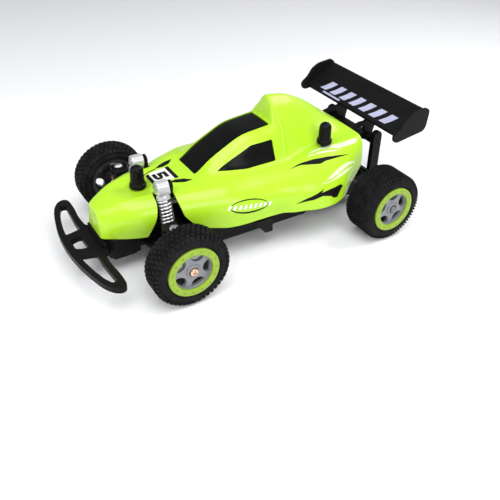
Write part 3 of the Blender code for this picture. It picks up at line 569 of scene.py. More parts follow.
SOFTNESS = [0.5, 0.22, 0.28, 0.34, 0.5, 0.5]        # ridge to flank; 0.5 blends the whole way
print("cross-sections:", len(NOSE_TO_ROOF) + len(HOOP_TO_TAIL))

# %% [markdown]
# Two places don't fit plain cross-sections. The face of the roll hoop stands almost upright and leans back
# towards its sides, so its points carry an x of their own. And the nose ends in a small rounding, as a
# moulded edge does, where the last few sections are drawn in.

# %% The roll hoop's face and the rounded nose
# The face of the roll hoop, from the roof's end up and over its lip: (x, y, z) of the ridge, canopy edge,
# pillar and belt. The creases below the belt carry straight on.
HOOP_FACE = [
    [(65.3, 0, 81.1), (65.1, 13.4, 80.5), (64.8, 18.5, 75.4), (65, 25.2, 57.2)],
    [(64.9, 0, 82), (64.5, 13.2, 81.4), (63, 18.2, 75.9), (64, 25.1, 57.2)],
    [(63.9, 0, 88.2), (63.2, 11, 86), (61.7, 17.6, 76.4), (63, 25.1, 57.2)],
    [(62.9, 0, 94.6), (61.9, 7.6, 90.2), (60.4, 17, 76.6), (62.2, 25.2, 57.3)],
    [(62.7, 0, 96.6), (61.5, 7.6, 91.1), (59.9, 17.5, 76.9), (61.8, 25.8, 57.5)],
    [(62.3, 0, 97.6), (61, 7.9, 91.6), (59.3, 18, 77.1), (61.2, 26.1, 57.6)],
    [(61.4, 0, 98.3), (60.2, 8, 91.8), (58.7, 18, 77.1), (60.4, 26.1, 57.6)],
    [(60.2, 0, 98.4), (59.1, 7.9, 91.7), (58.1, 17.6, 76.9), (59.4, 25.7, 57.6)],
]
SHELL_THICKNESS = 1.5
NOSE_ROUNDING = [(193.0, 1.9), (192.9, 1.2), (192.6, 0.6), (192.0, 0.2), (191.2, 0.0)]   # (x, how far inside)
print("rows on the hoop's face:", len(HOOP_FACE))

# %% [markdown]
# The curve through a crease is a monotone cubic: unlike a plain spline it never swings past the sections
# that it passes through, which would ripple the paint. A little averaging along the car then takes out the
# last kinks, because gloss paint shows every one.

# %% Sections between the sections
def through(stations, step, rounds=4):
    """(x, half section) every step millimetres, smoothed but for the two ends."""
    knots = np.array([-s[0] for s in stations], float)
    values = np.array([s[1] for s in stations], float)
    slopes = np.diff(values, axis=0) / np.diff(knots)[:, None, None]
    total = slopes[1:] + slopes[:-1]
    same_way = slopes[1:] * slopes[:-1] > 0
    inner = np.where(same_way, 2 * slopes[1:] * slopes[:-1] / np.where(total == 0, 1, total), 0)
    tangents = np.concatenate([slopes[:1], inner, slopes[-1:]])
    places = np.linspace(knots[0], knots[-1], round((knots[-1] - knots[0]) / step) + 1)
    rows = []
    for x in places:
        k = int(np.clip(np.searchsorted(knots, x, side="right") - 1, 0, len(knots) - 2))
        h = knots[k + 1] - knots[k]
        t = (x - knots[k]) / h
        rows.append((2 * t**3 - 3 * t**2 + 1) * values[k] + (t**3 - 2 * t**2 + t) * h * tangents[k]
                    + (3 * t**2 - 2 * t**3) * values[k + 1] + (t**3 - t**2) * h * tangents[k + 1])
    rows = np.array(rows)
    for _ in range(rounds):
        rows[1:-1] = (rows[:-2] + 2 * rows[1:-1] + rows[2:]) / 4
    return [(-x, row) for x, row in zip(places, rows)]


SECTION_STEP = 1.5             # how far apart the rows of the finished skin are
print("rows from nose to roof:", len(through(NOSE_TO_ROOF, SECTION_STEP)))

# %% [markdown]
# The inside of the shell is the same surface, moved in by the wall's thickness. Moving each corner along
# its mitre keeps the walls parallel, as in a picture frame. The corners of a section are then rounded by a
# curve that starts a share of the way along each side.

# %% Inset sections and rounded rows
def inset(half, distance):
    """Move a half section inwards, keeping its sides parallel."""
    whole = [np.array([-half[1][0], half[1][1]])] + list(half)
    moved = []
    for i in range(1, len(whole)):
        normals = []
        for a, b in ((i - 1, i), (i, i + 1)):
            if b < len(whole):
                run = whole[b] - whole[a]
                run = run / np.linalg.norm(run)
                normals.append(np.array([run[1], -run[0]]))
        mitre = sum(normals)
        if len(normals) == 2:
            mitre = mitre / (1 + float(normals[0] @ normals[1]))
        moved.append(whole[i] + mitre * distance)
    return np.array(moved)


def rounded_row(half, steps=6):
    """From a half section of (x, y, z) creases, the full row of points from sill to sill."""
    whole = [Vector(p) for p in half[::-1]] + [Vector((p[0], -p[1], p[2])) for p in half[1:]]
    softness = SOFTNESS[::-1] + SOFTNESS[1:]
    row = [whole[0]]
    for i, soft in enumerate(softness, 1):
        start, end = whole[i].lerp(whole[i - 1], soft), whole[i].lerp(whole[i + 1], soft)
        for k in range(steps + 1):
            t = k / steps
            point = start.lerp(whole[i], t).lerp(whole[i].lerp(end, t), t)
            if (point - row[-1]).length > 1e-4:
                row.append(point)
    row.append(whole[-1])
    return row


NOSE_TIP = NOSE_TO_ROOF[0][0]
NOSE_ROUNDED_FROM = 191        # rows further forward are drawn in
NOSE_INSIDE = 191.5            # the inner skin's front wall
HOOP_INSIDE = 59.5             # where the inner skin crosses the hoop's face
HOOP_INSIDE_STEP = 0.05        # how far apart its rows are there


def shell_rows(depth):
    """Rows of creases for the skin that lies that deep below the paint."""
    def row(x, half):
        return [(x, float(y), float(z)) for y, z in half]
    front = through(NOSE_TO_ROOF, SECTION_STEP)
    rear = through(HOOP_TO_TAIL, SECTION_STEP)
    first, second = front[0][1], front[1][1]
    if depth == 0:
        rows = [row(x, inset(first + (NOSE_TIP - x) * (second - first) / SECTION_STEP, inside))
                for x, inside in NOSE_ROUNDING]
        rows += [row(x, half) for x, half in front if x < NOSE_ROUNDED_FROM]
    else:
        rows = [row(min(x, NOSE_INSIDE), inset(half, depth)) for x, half in front if x < NOSE_INSIDE + 1]
    roof, hoop = front[-1][1], rear[0][1]
    for k, face in enumerate(HOOP_FACE, 1):
        share = k / (len(HOOP_FACE) + 1)
        low = roof[4:] + (hoop[4:] - roof[4:]) * share
        x = front[-1][0] + (rear[0][0] - front[-1][0]) * share
        if depth == 0:
            rows.append(face + row(x, low))
        else:
            top = roof[:4] if k < 3 else hoop[:4]
            rows.append(row(HOOP_INSIDE - HOOP_INSIDE_STEP * k, inset(np.concatenate([top, low]), depth)))
    rows += [row(x, inset(half, depth) if depth else half) for x, half in rear]
    return rows


print("points across the shell:", len(rounded_row(shell_rows(0)[0])))

# %% [markdown]
# A moulding has to be a closed solid for the cuts to work. So the outer and the inner skin are joined by a
# wall at the nose, a rim at the tail and a strip of triangles along each sill, where the two skins have
# different numbers of rows.

# %% Close the shell between its two skins
def skin(rows):
    """Points and faces through a list of equally long rows."""
    points = [tuple(p) for r in rows for p in r]
    width = len(rows[0])
    faces = [[i * width + j, i * width + j + 1, (i + 1) * width + j + 1, (i + 1) * width + j]
             for i in range(len(rows) - 1) for j in range(width - 1)]
    return points, faces


def strip(points, outside, inside):
    """Triangles between two lines of points, stepping on along whichever line is further forward."""
    faces = []
    while len(outside) > 1 or len(inside) > 1:
        if len(inside) == 1 or (len(outside) > 1 and points[outside[1]][0] > points[inside[1]][0]):
            faces.append([outside[0], outside[1], inside[0]])
            outside = outside[1:]
        else:
            faces.append([outside[0], inside[1], inside[0]])
            inside = inside[1:]
    return faces


def closed(outer_rows, inner_rows):
    width = len(outer_rows[0])
    points, faces = join(skin(outer_rows), skin(inner_rows))
    first_inner = len(outer_rows) * width
    last = first_inner - width
    last_inner = len(points) - width
    faces += [list(range(width))[::-1], [first_inner + j for j in range(width)]]
    faces += [[last + j, last + j + 1, last_inner + j + 1, last_inner + j] for j in range(width - 1)]
    for edge in (0, width - 1):
        faces += strip(points, list(range(edge, first_inner, width)),
                       list(range(first_inner + edge, len(points), width)))
    faces.append([0, first_inner, first_inner + width - 1, width - 1])
    return points, faces


outer_rows = [rounded_row(row) for row in shell_rows(0)]
inner_rows = [rounded_row(row) for row in shell_rows(SHELL_THICKNESS)]
solid = closed(outer_rows, inner_rows)
print("shell rows:", len(outer_rows), "points in each:", len(outer_rows[0]))

# %% [markdown]
# The openings are cut after the skin is made, as the toolmaker does: the windscreen from above, the side
# windows from the side, and a notch on each side for the shocks. Rounded outlines give rounded corners.

# %% Cut the openings
WINDSCREEN = [(125.5, -12.3), (125.5, 12.3), (66.5, 12.3), (66.5, -12.3)]
SIDE_WINDOW = [(113.5, 59.4), (86, 71.6), (68.8, 72.6), (68.3, 58.2), (92, 57.6)]
SHOCK_NOTCH = [(145.5, 80), (145.5, 50), (143.5, 40), (138.5, 34), (128, 26), (128, 20), (167, 20),
               (166, 26), (160.3, 42), (158, 51), (157.8, 80)]
FRONT_POST = (161.0, 0.0)
REAR_POST = (middle("post_cap_rear_left").x - REAR_AXLE_X) / MM, middle("post_cap_rear_left").y / MM
SPINE = 15.0                   # half the width left between the two shock notches
POST_HOLE = 5.6

shell = make("shell", *solid, LIME_SHELL, "car", "lime_gloss", ["body_shell"])
tools = [prism(rounded(WINDSCREEN, 1.6), "Z", 48, 100)]
for opening in (prism(rounded(SHOCK_NOTCH, 2.5), "Y", SPINE, 60),
                prism(rounded(SIDE_WINDOW, 1.8), "Y", 12, 33)):
    tools += [opening, both(opening)]
for x, y in (FRONT_POST, REAR_POST, (REAR_POST[0], -REAR_POST[1])):
    tools.append(prism(circle((x, y), POST_HOLE / 2, 24), "Z", 40, 76))
cut(shell, tools, 48)
print("shell faces after cutting:", len(shell.data.polygons))

# %% [markdown]
# ## Panels and stickers
# The windows are black panels set a little below the paint, and the markings are printed film on top of it.
# Both follow the shell. A flat outline is sliced into small squares, each corner is dropped onto the uncut
# skin along one direction, and the whole patch is then moved in or out along the skin's own normals.

# %% Patches that follow the shell
def surface(shape):
    """A shape that rays can be cast at, in metres."""
    return BVHTree.FromPolygons([metres(*p) for p in shape[0]], shape[1])


SKIN = surface(skin(outer_rows))


def above(u, v):
    """From a point (x, y) on a plan of the car: where its ray starts and which way it goes."""
    return (u, v, 110), (0, 0, -1)


def beside(u, v):
    """The same for a point (x, z) of a side view."""
    return (u, 75, v), (0, -1, 0)


def sliced(outline, grid):
    """An outline cut into small squares, as a flat mesh."""
    bm = bmesh.new()
    bm.faces.new([bm.verts.new((u, v, 0)) for u, v in outline])
    bmesh.ops.triangulate(bm, faces=bm.faces)
    for k, (low, high) in enumerate(zip(np.min(outline, axis=0), np.max(outline, axis=0))):
        normal = Vector((1 - k, k, 0))
        for place in np.arange(low + grid, high, grid):
            everything = list(bm.verts) + list(bm.edges) + list(bm.faces)
            bmesh.ops.bisect_plane(bm, geom=everything, plane_co=normal * float(place), plane_no=normal)
    bm.verts.index_update()
    return bm


def patch(outline, view, lift, skin_tree=SKIN, grid=1.6):
    """Points and faces of an outline laid on the shell and lifted off it, all in millimetres."""
    bm = sliced(outline, grid)
    points = []
    for vert in bm.verts:
        start, direction = view(vert.co.x, vert.co.y)
        where, normal, _, _ = skin_tree.ray_cast(metres(*start), Vector(direction))
        if normal.dot(Vector(direction)) > 0:
            normal = -normal
        landed = where + normal * lift * MM
        points.append(((landed.x - REAR_AXLE_X) / MM, landed.y / MM, landed.z / MM))
    faces = [[v.index for v in face.verts] for face in bm.faces]
    bm.free()
    return points, faces


roof = SKIN.ray_cast(metres(75, 0, 110), Vector((0, 0, -1)))[0]
print("the roof is %.1f mm above the floor" % (roof.z / MM))

# %% [markdown]
# The panels are made first. Each is its opening's own outline, a hair smaller, laid half a millimetre below
# the paint and given a thickness inwards, which leaves the narrow shadow line round a real fitted window.

# %% Window panels
PANEL_DEPTH = 0.55             # below the paint
PANEL_THICKNESS = 0.8


def shrunk(outline, share):
    """The outline drawn in towards its middle by that share."""
    centre = np.mean(outline, axis=0)
    return [tuple(centre + (np.array(p) - centre) * (1 - share)) for p in outline]


def panel(name, shape, stands_for):
    piece = make(name, *shape, WINDOW_BLACK, "car", "black_gloss", [stands_for])
    thick = piece.modifiers.new("thickness", "SOLIDIFY")
    thick.thickness = PANEL_THICKNESS * MM
    thick.offset = -1
    print(name, "has", len(piece.data.polygons), "faces")


screen = patch(rounded(shrunk(WINDSCREEN, 0.006), 1.4), above, -PANEL_DEPTH, grid=2.2)
panel("windscreen_panel", screen, "windscreen")
window = patch(rounded(shrunk(SIDE_WINDOW, 0.008), 1.6), beside, -PANEL_DEPTH, grid=2.2)
panel("side_window_panel_left", window, "side_window_left")
panel("side_window_panel_right", both(window), "side_window_right")

# %% [markdown]
# The race plate on the nose is white film with a numeral between two bars, and a dark diamond and a stripe
# on each side of it. The numeral is built from slabs in a box of its own, from 0 to 1 each way, so that one
# stroke width makes it bolder or lighter.

# %% A numeral for the plate
NUMERAL_SIZE = (9.8, 8.2)      # height along the car and width across it
NUMERAL_MIDDLE = (144.6, 0.0)
STROKE = 0.31                  # of the numeral's width


def numeral_five():
    """A plain 5 as slabs, in a box from 0 to 1 across and 0 to 1 upwards."""
    s = STROKE
    h = s * NUMERAL_SIZE[1] / NUMERAL_SIZE[0]
    top = [(0.04, 1), (0.04, 1 - h), (0.96, 1 - h), (0.96, 1)]
    stem = [(0.04, 1 - h), (0.04, 0.5), (0.04 + s, 0.5), (0.04 + s, 1 - h)]
    outside = [(0.04, 0.62), (0.6, 0.62), (0.88, 0.55), (1, 0.42), (1, 0.2), (0.88, 0.07), (0.6, 0), (0, 0)]
    inside = [(0, h), (0.58, h), (1 - s, 0.2), (1 - s, 0.42), (0.58, 0.62 - h), (0.04, 0.62 - h)]
    return [top, stem, outside + inside]


def on_plate(outline):
    """From the numeral's box to the plate, so that it reads from the front of the car looking back."""
    height, across = NUMERAL_SIZE
    return [(NUMERAL_MIDDLE[0] - (v - 0.5) * height, NUMERAL_MIDDLE[1] + (0.5 - u) * -across)
            for u, v in outline]


print("slabs in the numeral:", len(numeral_five()))

# %% [markdown]
# Printed film is thin, but two layers at the same height would flicker through each other. So the film is a
# tenth of a millimetre or so above the paint, and the ink a little above the film.

# %% Race plate and diamonds
FILM = 0.12                    # the first layer of film above the paint
INK = 0.2                      # what is printed on it
PLATE = [(152.6, -6.4), (135.2, -8.7), (135.2, 8.7), (152.6, 6.4)]            # seen from above, (x, y)
PLATE_BARS = [[(152.6, -6.4), (150.6, -6.7), (150.6, 6.7), (152.6, 6.4)],
              [(138.0, -8.3), (135.2, -8.7), (135.2, 8.7), (138.0, 8.3)]]
DIAMOND = [(143.9, 10.4), (138.6, 9.9), (133.4, 11.6), (128.8, 16.2), (134.2, 16.0), (139.6, 13.6)]
STRIPE = [(154.5, 7.6), (143.9, 9.4), (143.9, 10.4), (154.3, 8.3)]
make("plate_film", *patch(PLATE, above, FILM), STICKER_WHITE, "car", "white_plastic")
inks = [patch(outline, above, INK) for outline in PLATE_BARS]
inks += [patch(on_plate(outline), above, INK) for outline in numeral_five()]
for outline in (DIAMOND, STRIPE):
    inks.append(patch(outline, above, FILM))
    inks.append(both(inks[-1]))
make("plate_ink", *join(*inks), STICKER_BLACK, "car", "black_gloss")
print("inked shapes:", len(inks))

# %% [markdown]
# The speed flashes on the rear quarters are pale and black strokes that taper forwards. The black ones lie
# on the upright flank and are drawn in side view. The pale ones wrap over the shoulder, where a side view
# would smear them, so they are drawn on a plane that leans back 45 degrees.

# %% Speed flashes
# The pale strokes are (x, w), where w is measured up the leaning plane. The black ones are (x, z).
UPPER_WHITE = [[(45, 20.6), (40, 22.2), (33, 22.6), (23.5, 22.1), (15.4, 21.2), (7.5, 21.6), (3.5, 21.1),
                (5.5, 18.2), (13, 17.8), (20, 18), (26, 19.6), (33, 20.9), (39, 20.9)],
               [(41.5, 18.8), (36, 19.8), (30, 19), (24, 17.5), (18, 17.1), (24, 16.6), (32, 17.8)],
               [(47, 18.9), (42.5, 19.6), (38, 18.9), (43, 18.5)]]
LOWER_WHITE = [[(40, -1.7), (35.5, 0.6), (30, 3), (24.5, 4.9), (17.2, 6.5), (9, 6.1), (11, 5.1), (16, 4.4),
                (22.5, 2.6), (29, 0), (35, -1.5)],
               [(43, -3.9), (37, -2.9), (30.5, -1.3), (23.5, 1.1), (17, 2.9), (12.5, 3.4), (16, 1.5),
                (21.5, -0.6), (29.9, -2.7), (38, -3.8)],
               [(47, -4.2), (43, -3), (39.5, -1.4), (42.5, -3.3)]]
UPPER_BLACK = [[(64, 54.6), (52.1, 56.6), (42.7, 57.7), (31.6, 58), (13.5, 57.2), (26.5, 56.6), (34.9, 56.2),
                (39.8, 55.2), (38.4, 56.3), (45, 56.4), (53.5, 55.7)]]
LOWER_BLACK = [[(65.5, 34), (57.9, 36.7), (48.8, 39.6), (43.4, 41.7), (46.2, 39.2), (38, 40.4), (28.8, 41),
                (26.4, 39.4), (29.4, 36.7), (32.4, 32.8), (35.6, 32.9), (38.7, 35.4), (45.7, 36.8),
                (52.4, 35.2), (58.9, 34.6)]]


def leaning(u, v):
    """The view square to the shoulder, 45 degrees down."""
    level = math.sqrt(0.5)
    return (u, 80 - v * level, 80 + v * level), (0, -level, -level)


whites = [patch(outline, leaning, FILM) for outline in UPPER_WHITE + LOWER_WHITE]
blacks = [patch(outline, beside, FILM) for outline in UPPER_BLACK + LOWER_BLACK]
for word, side in SIDES:
    make("flash_white_" + word, *to_side(join(*whites), side), FLASH_WHITE, "car", "white_plastic")
print("strokes on each side:", len(whites) + len(blacks))

# %% [markdown]
# The badge on each side pod is a row of slanted bars between two thin curves. It is drawn level about its
# own middle and then tilted, so that the bars and the curves stay in step.

# %% Badges on the side pods
BADGE_MIDDLE = (101.0, 40.9)
BADGE_REACH = (14.2, 4.9)      # half length and half height of the curves
BADGE_TILT = math.radians(7)
BADGE_BARS = 9
BAR_HALF_HEIGHT = 1.45
BAR_SLANT = 1.1


def badge_point(u, v):
    """A point of the badge's own plan, turned by its tilt, on the side of the car."""
    x = BADGE_MIDDLE[0] + u * math.cos(BADGE_TILT) - v * math.sin(BADGE_TILT)
    return x, BADGE_MIDDLE[1] + u * math.sin(BADGE_TILT) + v * math.cos(BADGE_TILT)


def badge_curve(way, thick):
    """One thin sickle, upper or lower, fading to a point at its ends."""
    angles = [math.pi * k / 18 for k in range(19)]
    long, high = BADGE_REACH
    outside = [(long * math.cos(a), way * high * math.sin(a)) for a in angles]
    inside = [(long * math.cos(a) * 0.985, way * (high - thick) * math.sin(a)) for a in angles[-2:0:-1]]
    return [badge_point(u, v) for u, v in outside + inside]


def badge_bars():
    """Slanted bars across the badge's middle, a little longer than the curves."""
    pitch = 2 * BADGE_REACH[0] * 1.2 / BADGE_BARS
    for k in range(BADGE_BARS):
        left = -BADGE_REACH[0] * 1.13 + k * pitch
        right = left + pitch * 0.5
        bar = [(left, -BAR_HALF_HEIGHT), (right, -BAR_HALF_HEIGHT),
               (right - BAR_SLANT, BAR_HALF_HEIGHT), (left - BAR_SLANT, BAR_HALF_HEIGHT)]
        yield [badge_point(u, v) for u, v in bar]


badge = [patch(outline, beside, INK) for outline in badge_bars()]
blacks += [patch(badge_curve(way, thick), beside, FILM) for way, thick in ((1, 0.7), (-1, 1.3))]
for word, side in SIDES:
    make("badge_bars_" + word, *to_side(join(*badge), side), STICKER_WHITE, "car", "white_plastic")
    make("flash_black_" + word, *to_side(join(*blacks), side), STICKER_BLACK, "car", "black_gloss")
print("bars in each badge:", len(badge))

# %% [markdown]
# ## Tyres
# A tyre is a turned carcass with rubber blocks moulded on it. The blocks sit on the crown and roll over the
# shoulders, so each is placed by its distance along the tyre's profile, and `tread_point` turns that
# distance into a point and an outward direction.

# %% The tyre's profile
TREAD_DEPTH = 1.0
SHOULDER = 4.0
SIDEWALL_INSET = 0.4           # how far the sidewall lies inside the bead ring's face
ARC = SHOULDER - TREAD_DEPTH   # radius of the carcass's shoulder


def crown_width(inside, face):
    return face - SIDEWALL_INSET - inside - 2 * SHOULDER


def tread_point(inside, face, along):
    """Where the carcass is, that far along its crown from the inner shoulder, and its outward direction."""
    over = along - min(max(along, 0), crown_width(inside, face))
    turn = over / ARC
    flat = inside + SHOULDER + along - over
    height = TYRE_RADIUS - TREAD_DEPTH - ARC * (1 - math.cos(turn))
    return (flat + ARC * math.sin(turn), height), (math.sin(turn), math.cos(turn))


def carcass(centre, inside, face):
    """The tyre without its blocks, with a rounded sidewall and a bead that grips the rim."""
    crown = crown_width(inside, face)
    arc = [k * math.pi / 2 * ARC / 8 for k in range(1, 9)]
    alongs = [-a for a in reversed(arc)] + [0, crown / 2, crown] + [crown + a for a in arc]
    profile = [(inside + 2.4, 17.9), (inside + 0.9, 17.9), (inside + 0.35, 18.4), (inside + 0.1, 19.6),
               (inside + 0.25, 20.8)]
    profile += [tread_point(inside, face, a)[0] for a in alongs]
    profile += [(face - 0.55, 20.8), (face - 0.4, 19.8), (face - 0.45, 19.0), (face - 0.75, 18.6),
                (face - 0.62, 18.3), (face - 0.9, 17.9), (face - 2.4, 17.9), (face - 3.4, 16.1),
                (inside + 3.4, 16.1)]
    return turned(profile, (centre, AXLE_Z), 96)


print("front crown %.1f mm, rear crown %.1f mm"
      % (crown_width(FRONT_INSIDE, FRONT_FACE), crown_width(REAR_INSIDE, REAR_FACE)))

# %% [markdown]
# The front tyres have a few rows of broad blocks, staggered like bricks, and the rear ones many rows of
# small pins for grip in sand. Both are the same block in different numbers. A front wheel turns on its own,
# while both rear wheels turn with their axle.

# %% Blocks and whole tyres
# Each end's axle (x forward), and the y of its wheels' inner and outer faces.
ENDS = {"front": (WHEELBASE, FRONT_INSIDE, FRONT_FACE), "rear": (0.0, REAR_INSIDE, REAR_FACE)}
# How many rows, how far apart they are, blocks in a row, a block's (width, length) and its taper.
TREADS = {"front": (6, 3.15, 46, (2.7, 2.6), 0.86), "rear": (11, 2.25, 62, (1.5, 1.7), 0.72)}


def wheel_body(end, word):
    return "front_wheel_" + word if end == "front" else "rear_axle"


def block(centre, inside, face, along, angle, size, taper):
    """One tread block: size is (across the tread, round the tyre), tapering towards its top."""
    (y, r), (ny, nr) = tread_point(inside, face, along)
    points = []
    for height, share in ((-0.3, 1.0), (TREAD_DEPTH - 0.05, taper)):
        for a, b in ((-1, -1), (1, -1), (1, 1), (-1, 1)):
            across = a * size[0] / 2 * share
            around = angle + b * size[1] / 2 * share / TYRE_RADIUS
            radius = r + nr * height - ny * across
            points.append((centre + radius * math.cos(around), y + ny * height + nr * across,
                           AXLE_Z + radius * math.sin(around)))
    return points, [[4, 5, 6, 7], [0, 1, 5, 4], [1, 2, 6, 5], [2, 3, 7, 6], [3, 0, 4, 7]]


def tyre(end, word, side):
    centre, inside, face = ENDS[end]
    rows, spacing, count, size, taper = TREADS[end]
    start = (crown_width(inside, face) - spacing * (rows - 1)) / 2
    shapes = [carcass(centre, inside, face)]
    for row in range(rows):
        for k in range(count):
            angle = 2 * math.pi * (k + (row % 2) / 2) / count
            shapes.append(block(centre, inside, face, start + row * spacing, angle, size, taper))
    make("tyre_%s_%s_treaded" % (end, word), *to_side(join(*shapes), side), TYRE, wheel_body(end, word),
         "tyre", ["tyre_%s_%s" % (end, word)])
    print(end, word, "tyre:", rows * count, "blocks")


for word, side in SIDES:
    for end in ENDS:
        tyre(end, word, side)

# %% [markdown]
# ## Wheels
# The rim is a deep barrel with a five-spoked star set back inside its face. It is turned first and then the
# five round-sided windows are cut. The rim is one grey moulding: the star's face is grey, and the barrel
# behind it takes a second, near-black finish that is painted shade inside the wheel. A separate lime ring
# covers the bead.

# %% Rims and rings
STAR_DEPTH = 3.0
HUB_RADIUS = 4.4
WINDOW_MIDDLE = 11.5           # from the axle to the middle of a window
WINDOW_RADIUS = 4.75
WINDOW_REACH = 12.25           # no window comes further out than this
FIRST_WINDOW = {"front": math.pi, "rear": math.radians(162)}


def rim_shape(centre, inside, face):
    disc = face - STAR_DEPTH
    profile = [(face - 1.9, 12.95), (face - 1.9, 17.0), (face - 2.2, 17.2), (face - 3.2, 15.7),
               (inside + 3.2, 15.7), (inside + 1.8, 17.2), (inside + 1.6, 17.0), (inside + 1.6, 14.7),
               (disc - 2.4, 13.7), (disc - 2.4, HUB_RADIUS), (disc - 5.5, HUB_RADIUS), (disc - 5.5, 1.9),
               (face - 3.2, 1.9), (face - 3.2, 3.3), (face - 1.35, 3.3), (face - 1.2, 3.5), (face - 1.2, 4.15),
               (face - 1.45, 4.5), (disc + 0.45, 5.0), (disc + 0.25, 6.2), (disc + 0.15, 9.0),
               (disc - 0.05, 12.3), (disc + 0.3, 12.8)]
    return turned(profile, (centre, AXLE_Z), 72)


def star_windows(centre, face, first):
    """The five windows: round towards the hub, and following the bead ring on their outer side."""
    for k in range(5):
        turn = first + 2 * math.pi * k / 5
        middle_of_window = WINDOW_MIDDLE * math.cos(turn), WINDOW_MIDDLE * math.sin(turn)
        outline = []
        for u, v in circle(middle_of_window, WINDOW_RADIUS, 28, turn + 0.1):
            far = max(1.0, math.hypot(u, v) / WINDOW_REACH)
            outline.append((centre + u / far, AXLE_Z + v / far))
        yield prism(outline, "Y", face - 7.5, face - 1.95)


def wheel(end, word, side):
    centre, inside, face = ENDS[end]
    body = wheel_body(end, word)
    rim = make("rim_%s_%s_star" % (end, word), *to_side(rim_shape(centre, inside, face), side),
               [STAR_GREY, RIM_PAINTED_SHADE], body, "grey_plastic", ["rim_%s_%s" % (end, word)])
    cut(rim, [to_side(hole, side) for hole in star_windows(centre, face, FIRST_WINDOW[end])])
    behind = (face - STAR_DEPTH - 1.9) * MM
    # faces behind the star get the painted shade of the inside of the wheel
    for face_of_rim in rim.data.polygons:
        face_of_rim.material_index = int(abs(face_of_rim.center.y) < behind)
    soften(rim, 0.28, 2, 50)
    ring = [(face - 1.6, 12.6), (face - 0.5, 12.6), (face - 0.12, 12.85), (face, 13.3), (face, 16.5),
            (face - 0.12, 16.95), (face - 0.5, 17.25), (face - 1.6, 17.3)]
    finish = FRONT_RING if end == "front" else REAR_RING
    make("ring_%s_%s" % (end, word), *to_side(turned(ring, (centre, AXLE_Z), 96), side), finish, body,
         "lime_ring", ["bead_ring_%s_%s" % (end, word)])


for word, side in SIDES:
    for end in ENDS:
        wheel(end, word, side)
print("wheels:", len(SIDES) * len(ENDS))

# %% [markdown]
# A front wheel spins on a brass-coloured screw with a crossed slot, and a rear one is held by a small
# hexagon nut with the end of the axle showing through it. The screw and the axle's end are turned. The
# slots are cut, because a slot that is only drawn would stay flat in a low light.

# %% Hub screws and axle nuts
def cross_slot(centre, low, high, half_length, half_width):
    """Two crossed slots, as a cutting tool for a screw's head."""
    bars = []
    for turn in (0.4, 0.4 + math.pi / 2):
        u, v = Vector((math.cos(turn), math.sin(turn))), Vector((-math.sin(turn), math.cos(turn)))
        corners = [a * half_length * u + b * half_width * v for a, b in ((1, 1), (-1, 1), (-1, -1), (1, -1))]
        bars.append(prism([(centre[0] + c.x, centre[1] + c.y) for c in corners], "Y", low, high))
    return bars


for word, side in SIDES:
    head = FRONT_FACE
    screw = [(47.9, 0), (47.9, 1.45), (head - 2.9, 1.45), (head - 2.9, 2.75), (head - 1.1, 2.8),
             (head - 0.5, 2.6), (head - 0.05, 1.9), (head + 0.15, 1.0), (head + 0.2, 0)]
    piece = make("hub_screw_" + word, *to_side(turned(screw, (WHEELBASE, AXLE_Z), 40), side), SCREW_BRASS,
                 "steering_" + word, "brass", ["wheel_screw_" + word])
    slots = cross_slot((WHEELBASE, AXLE_Z), head - 0.75, head + 1, 1.5, 0.32)
    cut(piece, [to_side(bar, side) for bar in slots])
    face = REAR_FACE
    end_of_axle = [(face - 1.0, 0), (face - 1.0, 2.3), (face - 0.6, 2.2), (face - 0.35, 1.7), (face - 0.3, 0)]
    nut = join(prism(circle((0, AXLE_Z), 2.9, 6), "Y", face - 2.9, face - 0.95),
               turned(end_of_axle, (0, AXLE_Z), 32))
    piece = make("axle_nut_" + word, *to_side(nut, side), NUT_STEEL, "rear_axle", "steel",
                 ["wheel_nut_" + word])
    soften(piece, 0.2, 2)
print("screws and nuts:", 2 * len(SIDES))

# %% [markdown]
# ## Shocks
# Each shock leans outwards, so it is drawn in its own frame: `u` runs forward, `v` outboard and `w` down
# the shock from its upper eye. `on_shock` turns such a point into the car's millimetres.

# %% The shock's own frame
SHOCK_X = (middle("shock_spring_left").x - REAR_AXLE_X) / MM
SHOCK_TOP = Vector((19.9, 58.5))
SHOCK_FOOT = Vector((29.5, 25.0))
DOWN = (SHOCK_FOOT - SHOCK_TOP).normalized()
OUTBOARD = Vector((-DOWN.y, DOWN.x))


def on_shock(u, v, w):
    place = SHOCK_TOP + OUTBOARD * v + DOWN * w
    return SHOCK_X + u, place.x, place.y


def shock_shape(shape):
    points, faces = shape
    return [on_shock(*p) for p in points], faces


print("the shocks lean outwards by %.1f degrees" % math.degrees(math.atan2(DOWN.x, -DOWN.y)))

# %% [markdown]
# The spring is a round wire swept along a helix. Each ring of points stands square to the wire, so its
# thickness stays true where it climbs.

# %% Wind the spring
TURNS = 6.5
POINTS_PER_TURN = 28
COIL_RADIUS = 4.15
WIRE_RADIUS = 0.78
SPRING = (9.1, 24.0)           # where the spring starts and ends along the shock


def swept(path, radius, count):
    """A round wire along a path of (u, v, w) points."""
    path = [Vector(p) for p in path]
    points, faces = [], []
    for i, here in enumerate(path):
        ahead = (path[min(i + 1, len(path) - 1)] - path[max(i - 1, 0)]).normalized()
        flat = ahead.cross(Vector((0, 0, 1))).normalized()
        up = flat.cross(ahead)
        points += [here + flat * u + up * v for u, v in circle((0, 0), radius, count)]
    for i in range(len(path) - 1):
        faces += [[i * count + k, i * count + (k + 1) % count, (i + 1) * count + (k + 1) % count,
                   (i + 1) * count + k] for k in range(count)]
    faces += [list(range(count)), list(range(len(points) - count, len(points)))]
    return [tuple(p) for p in points], faces


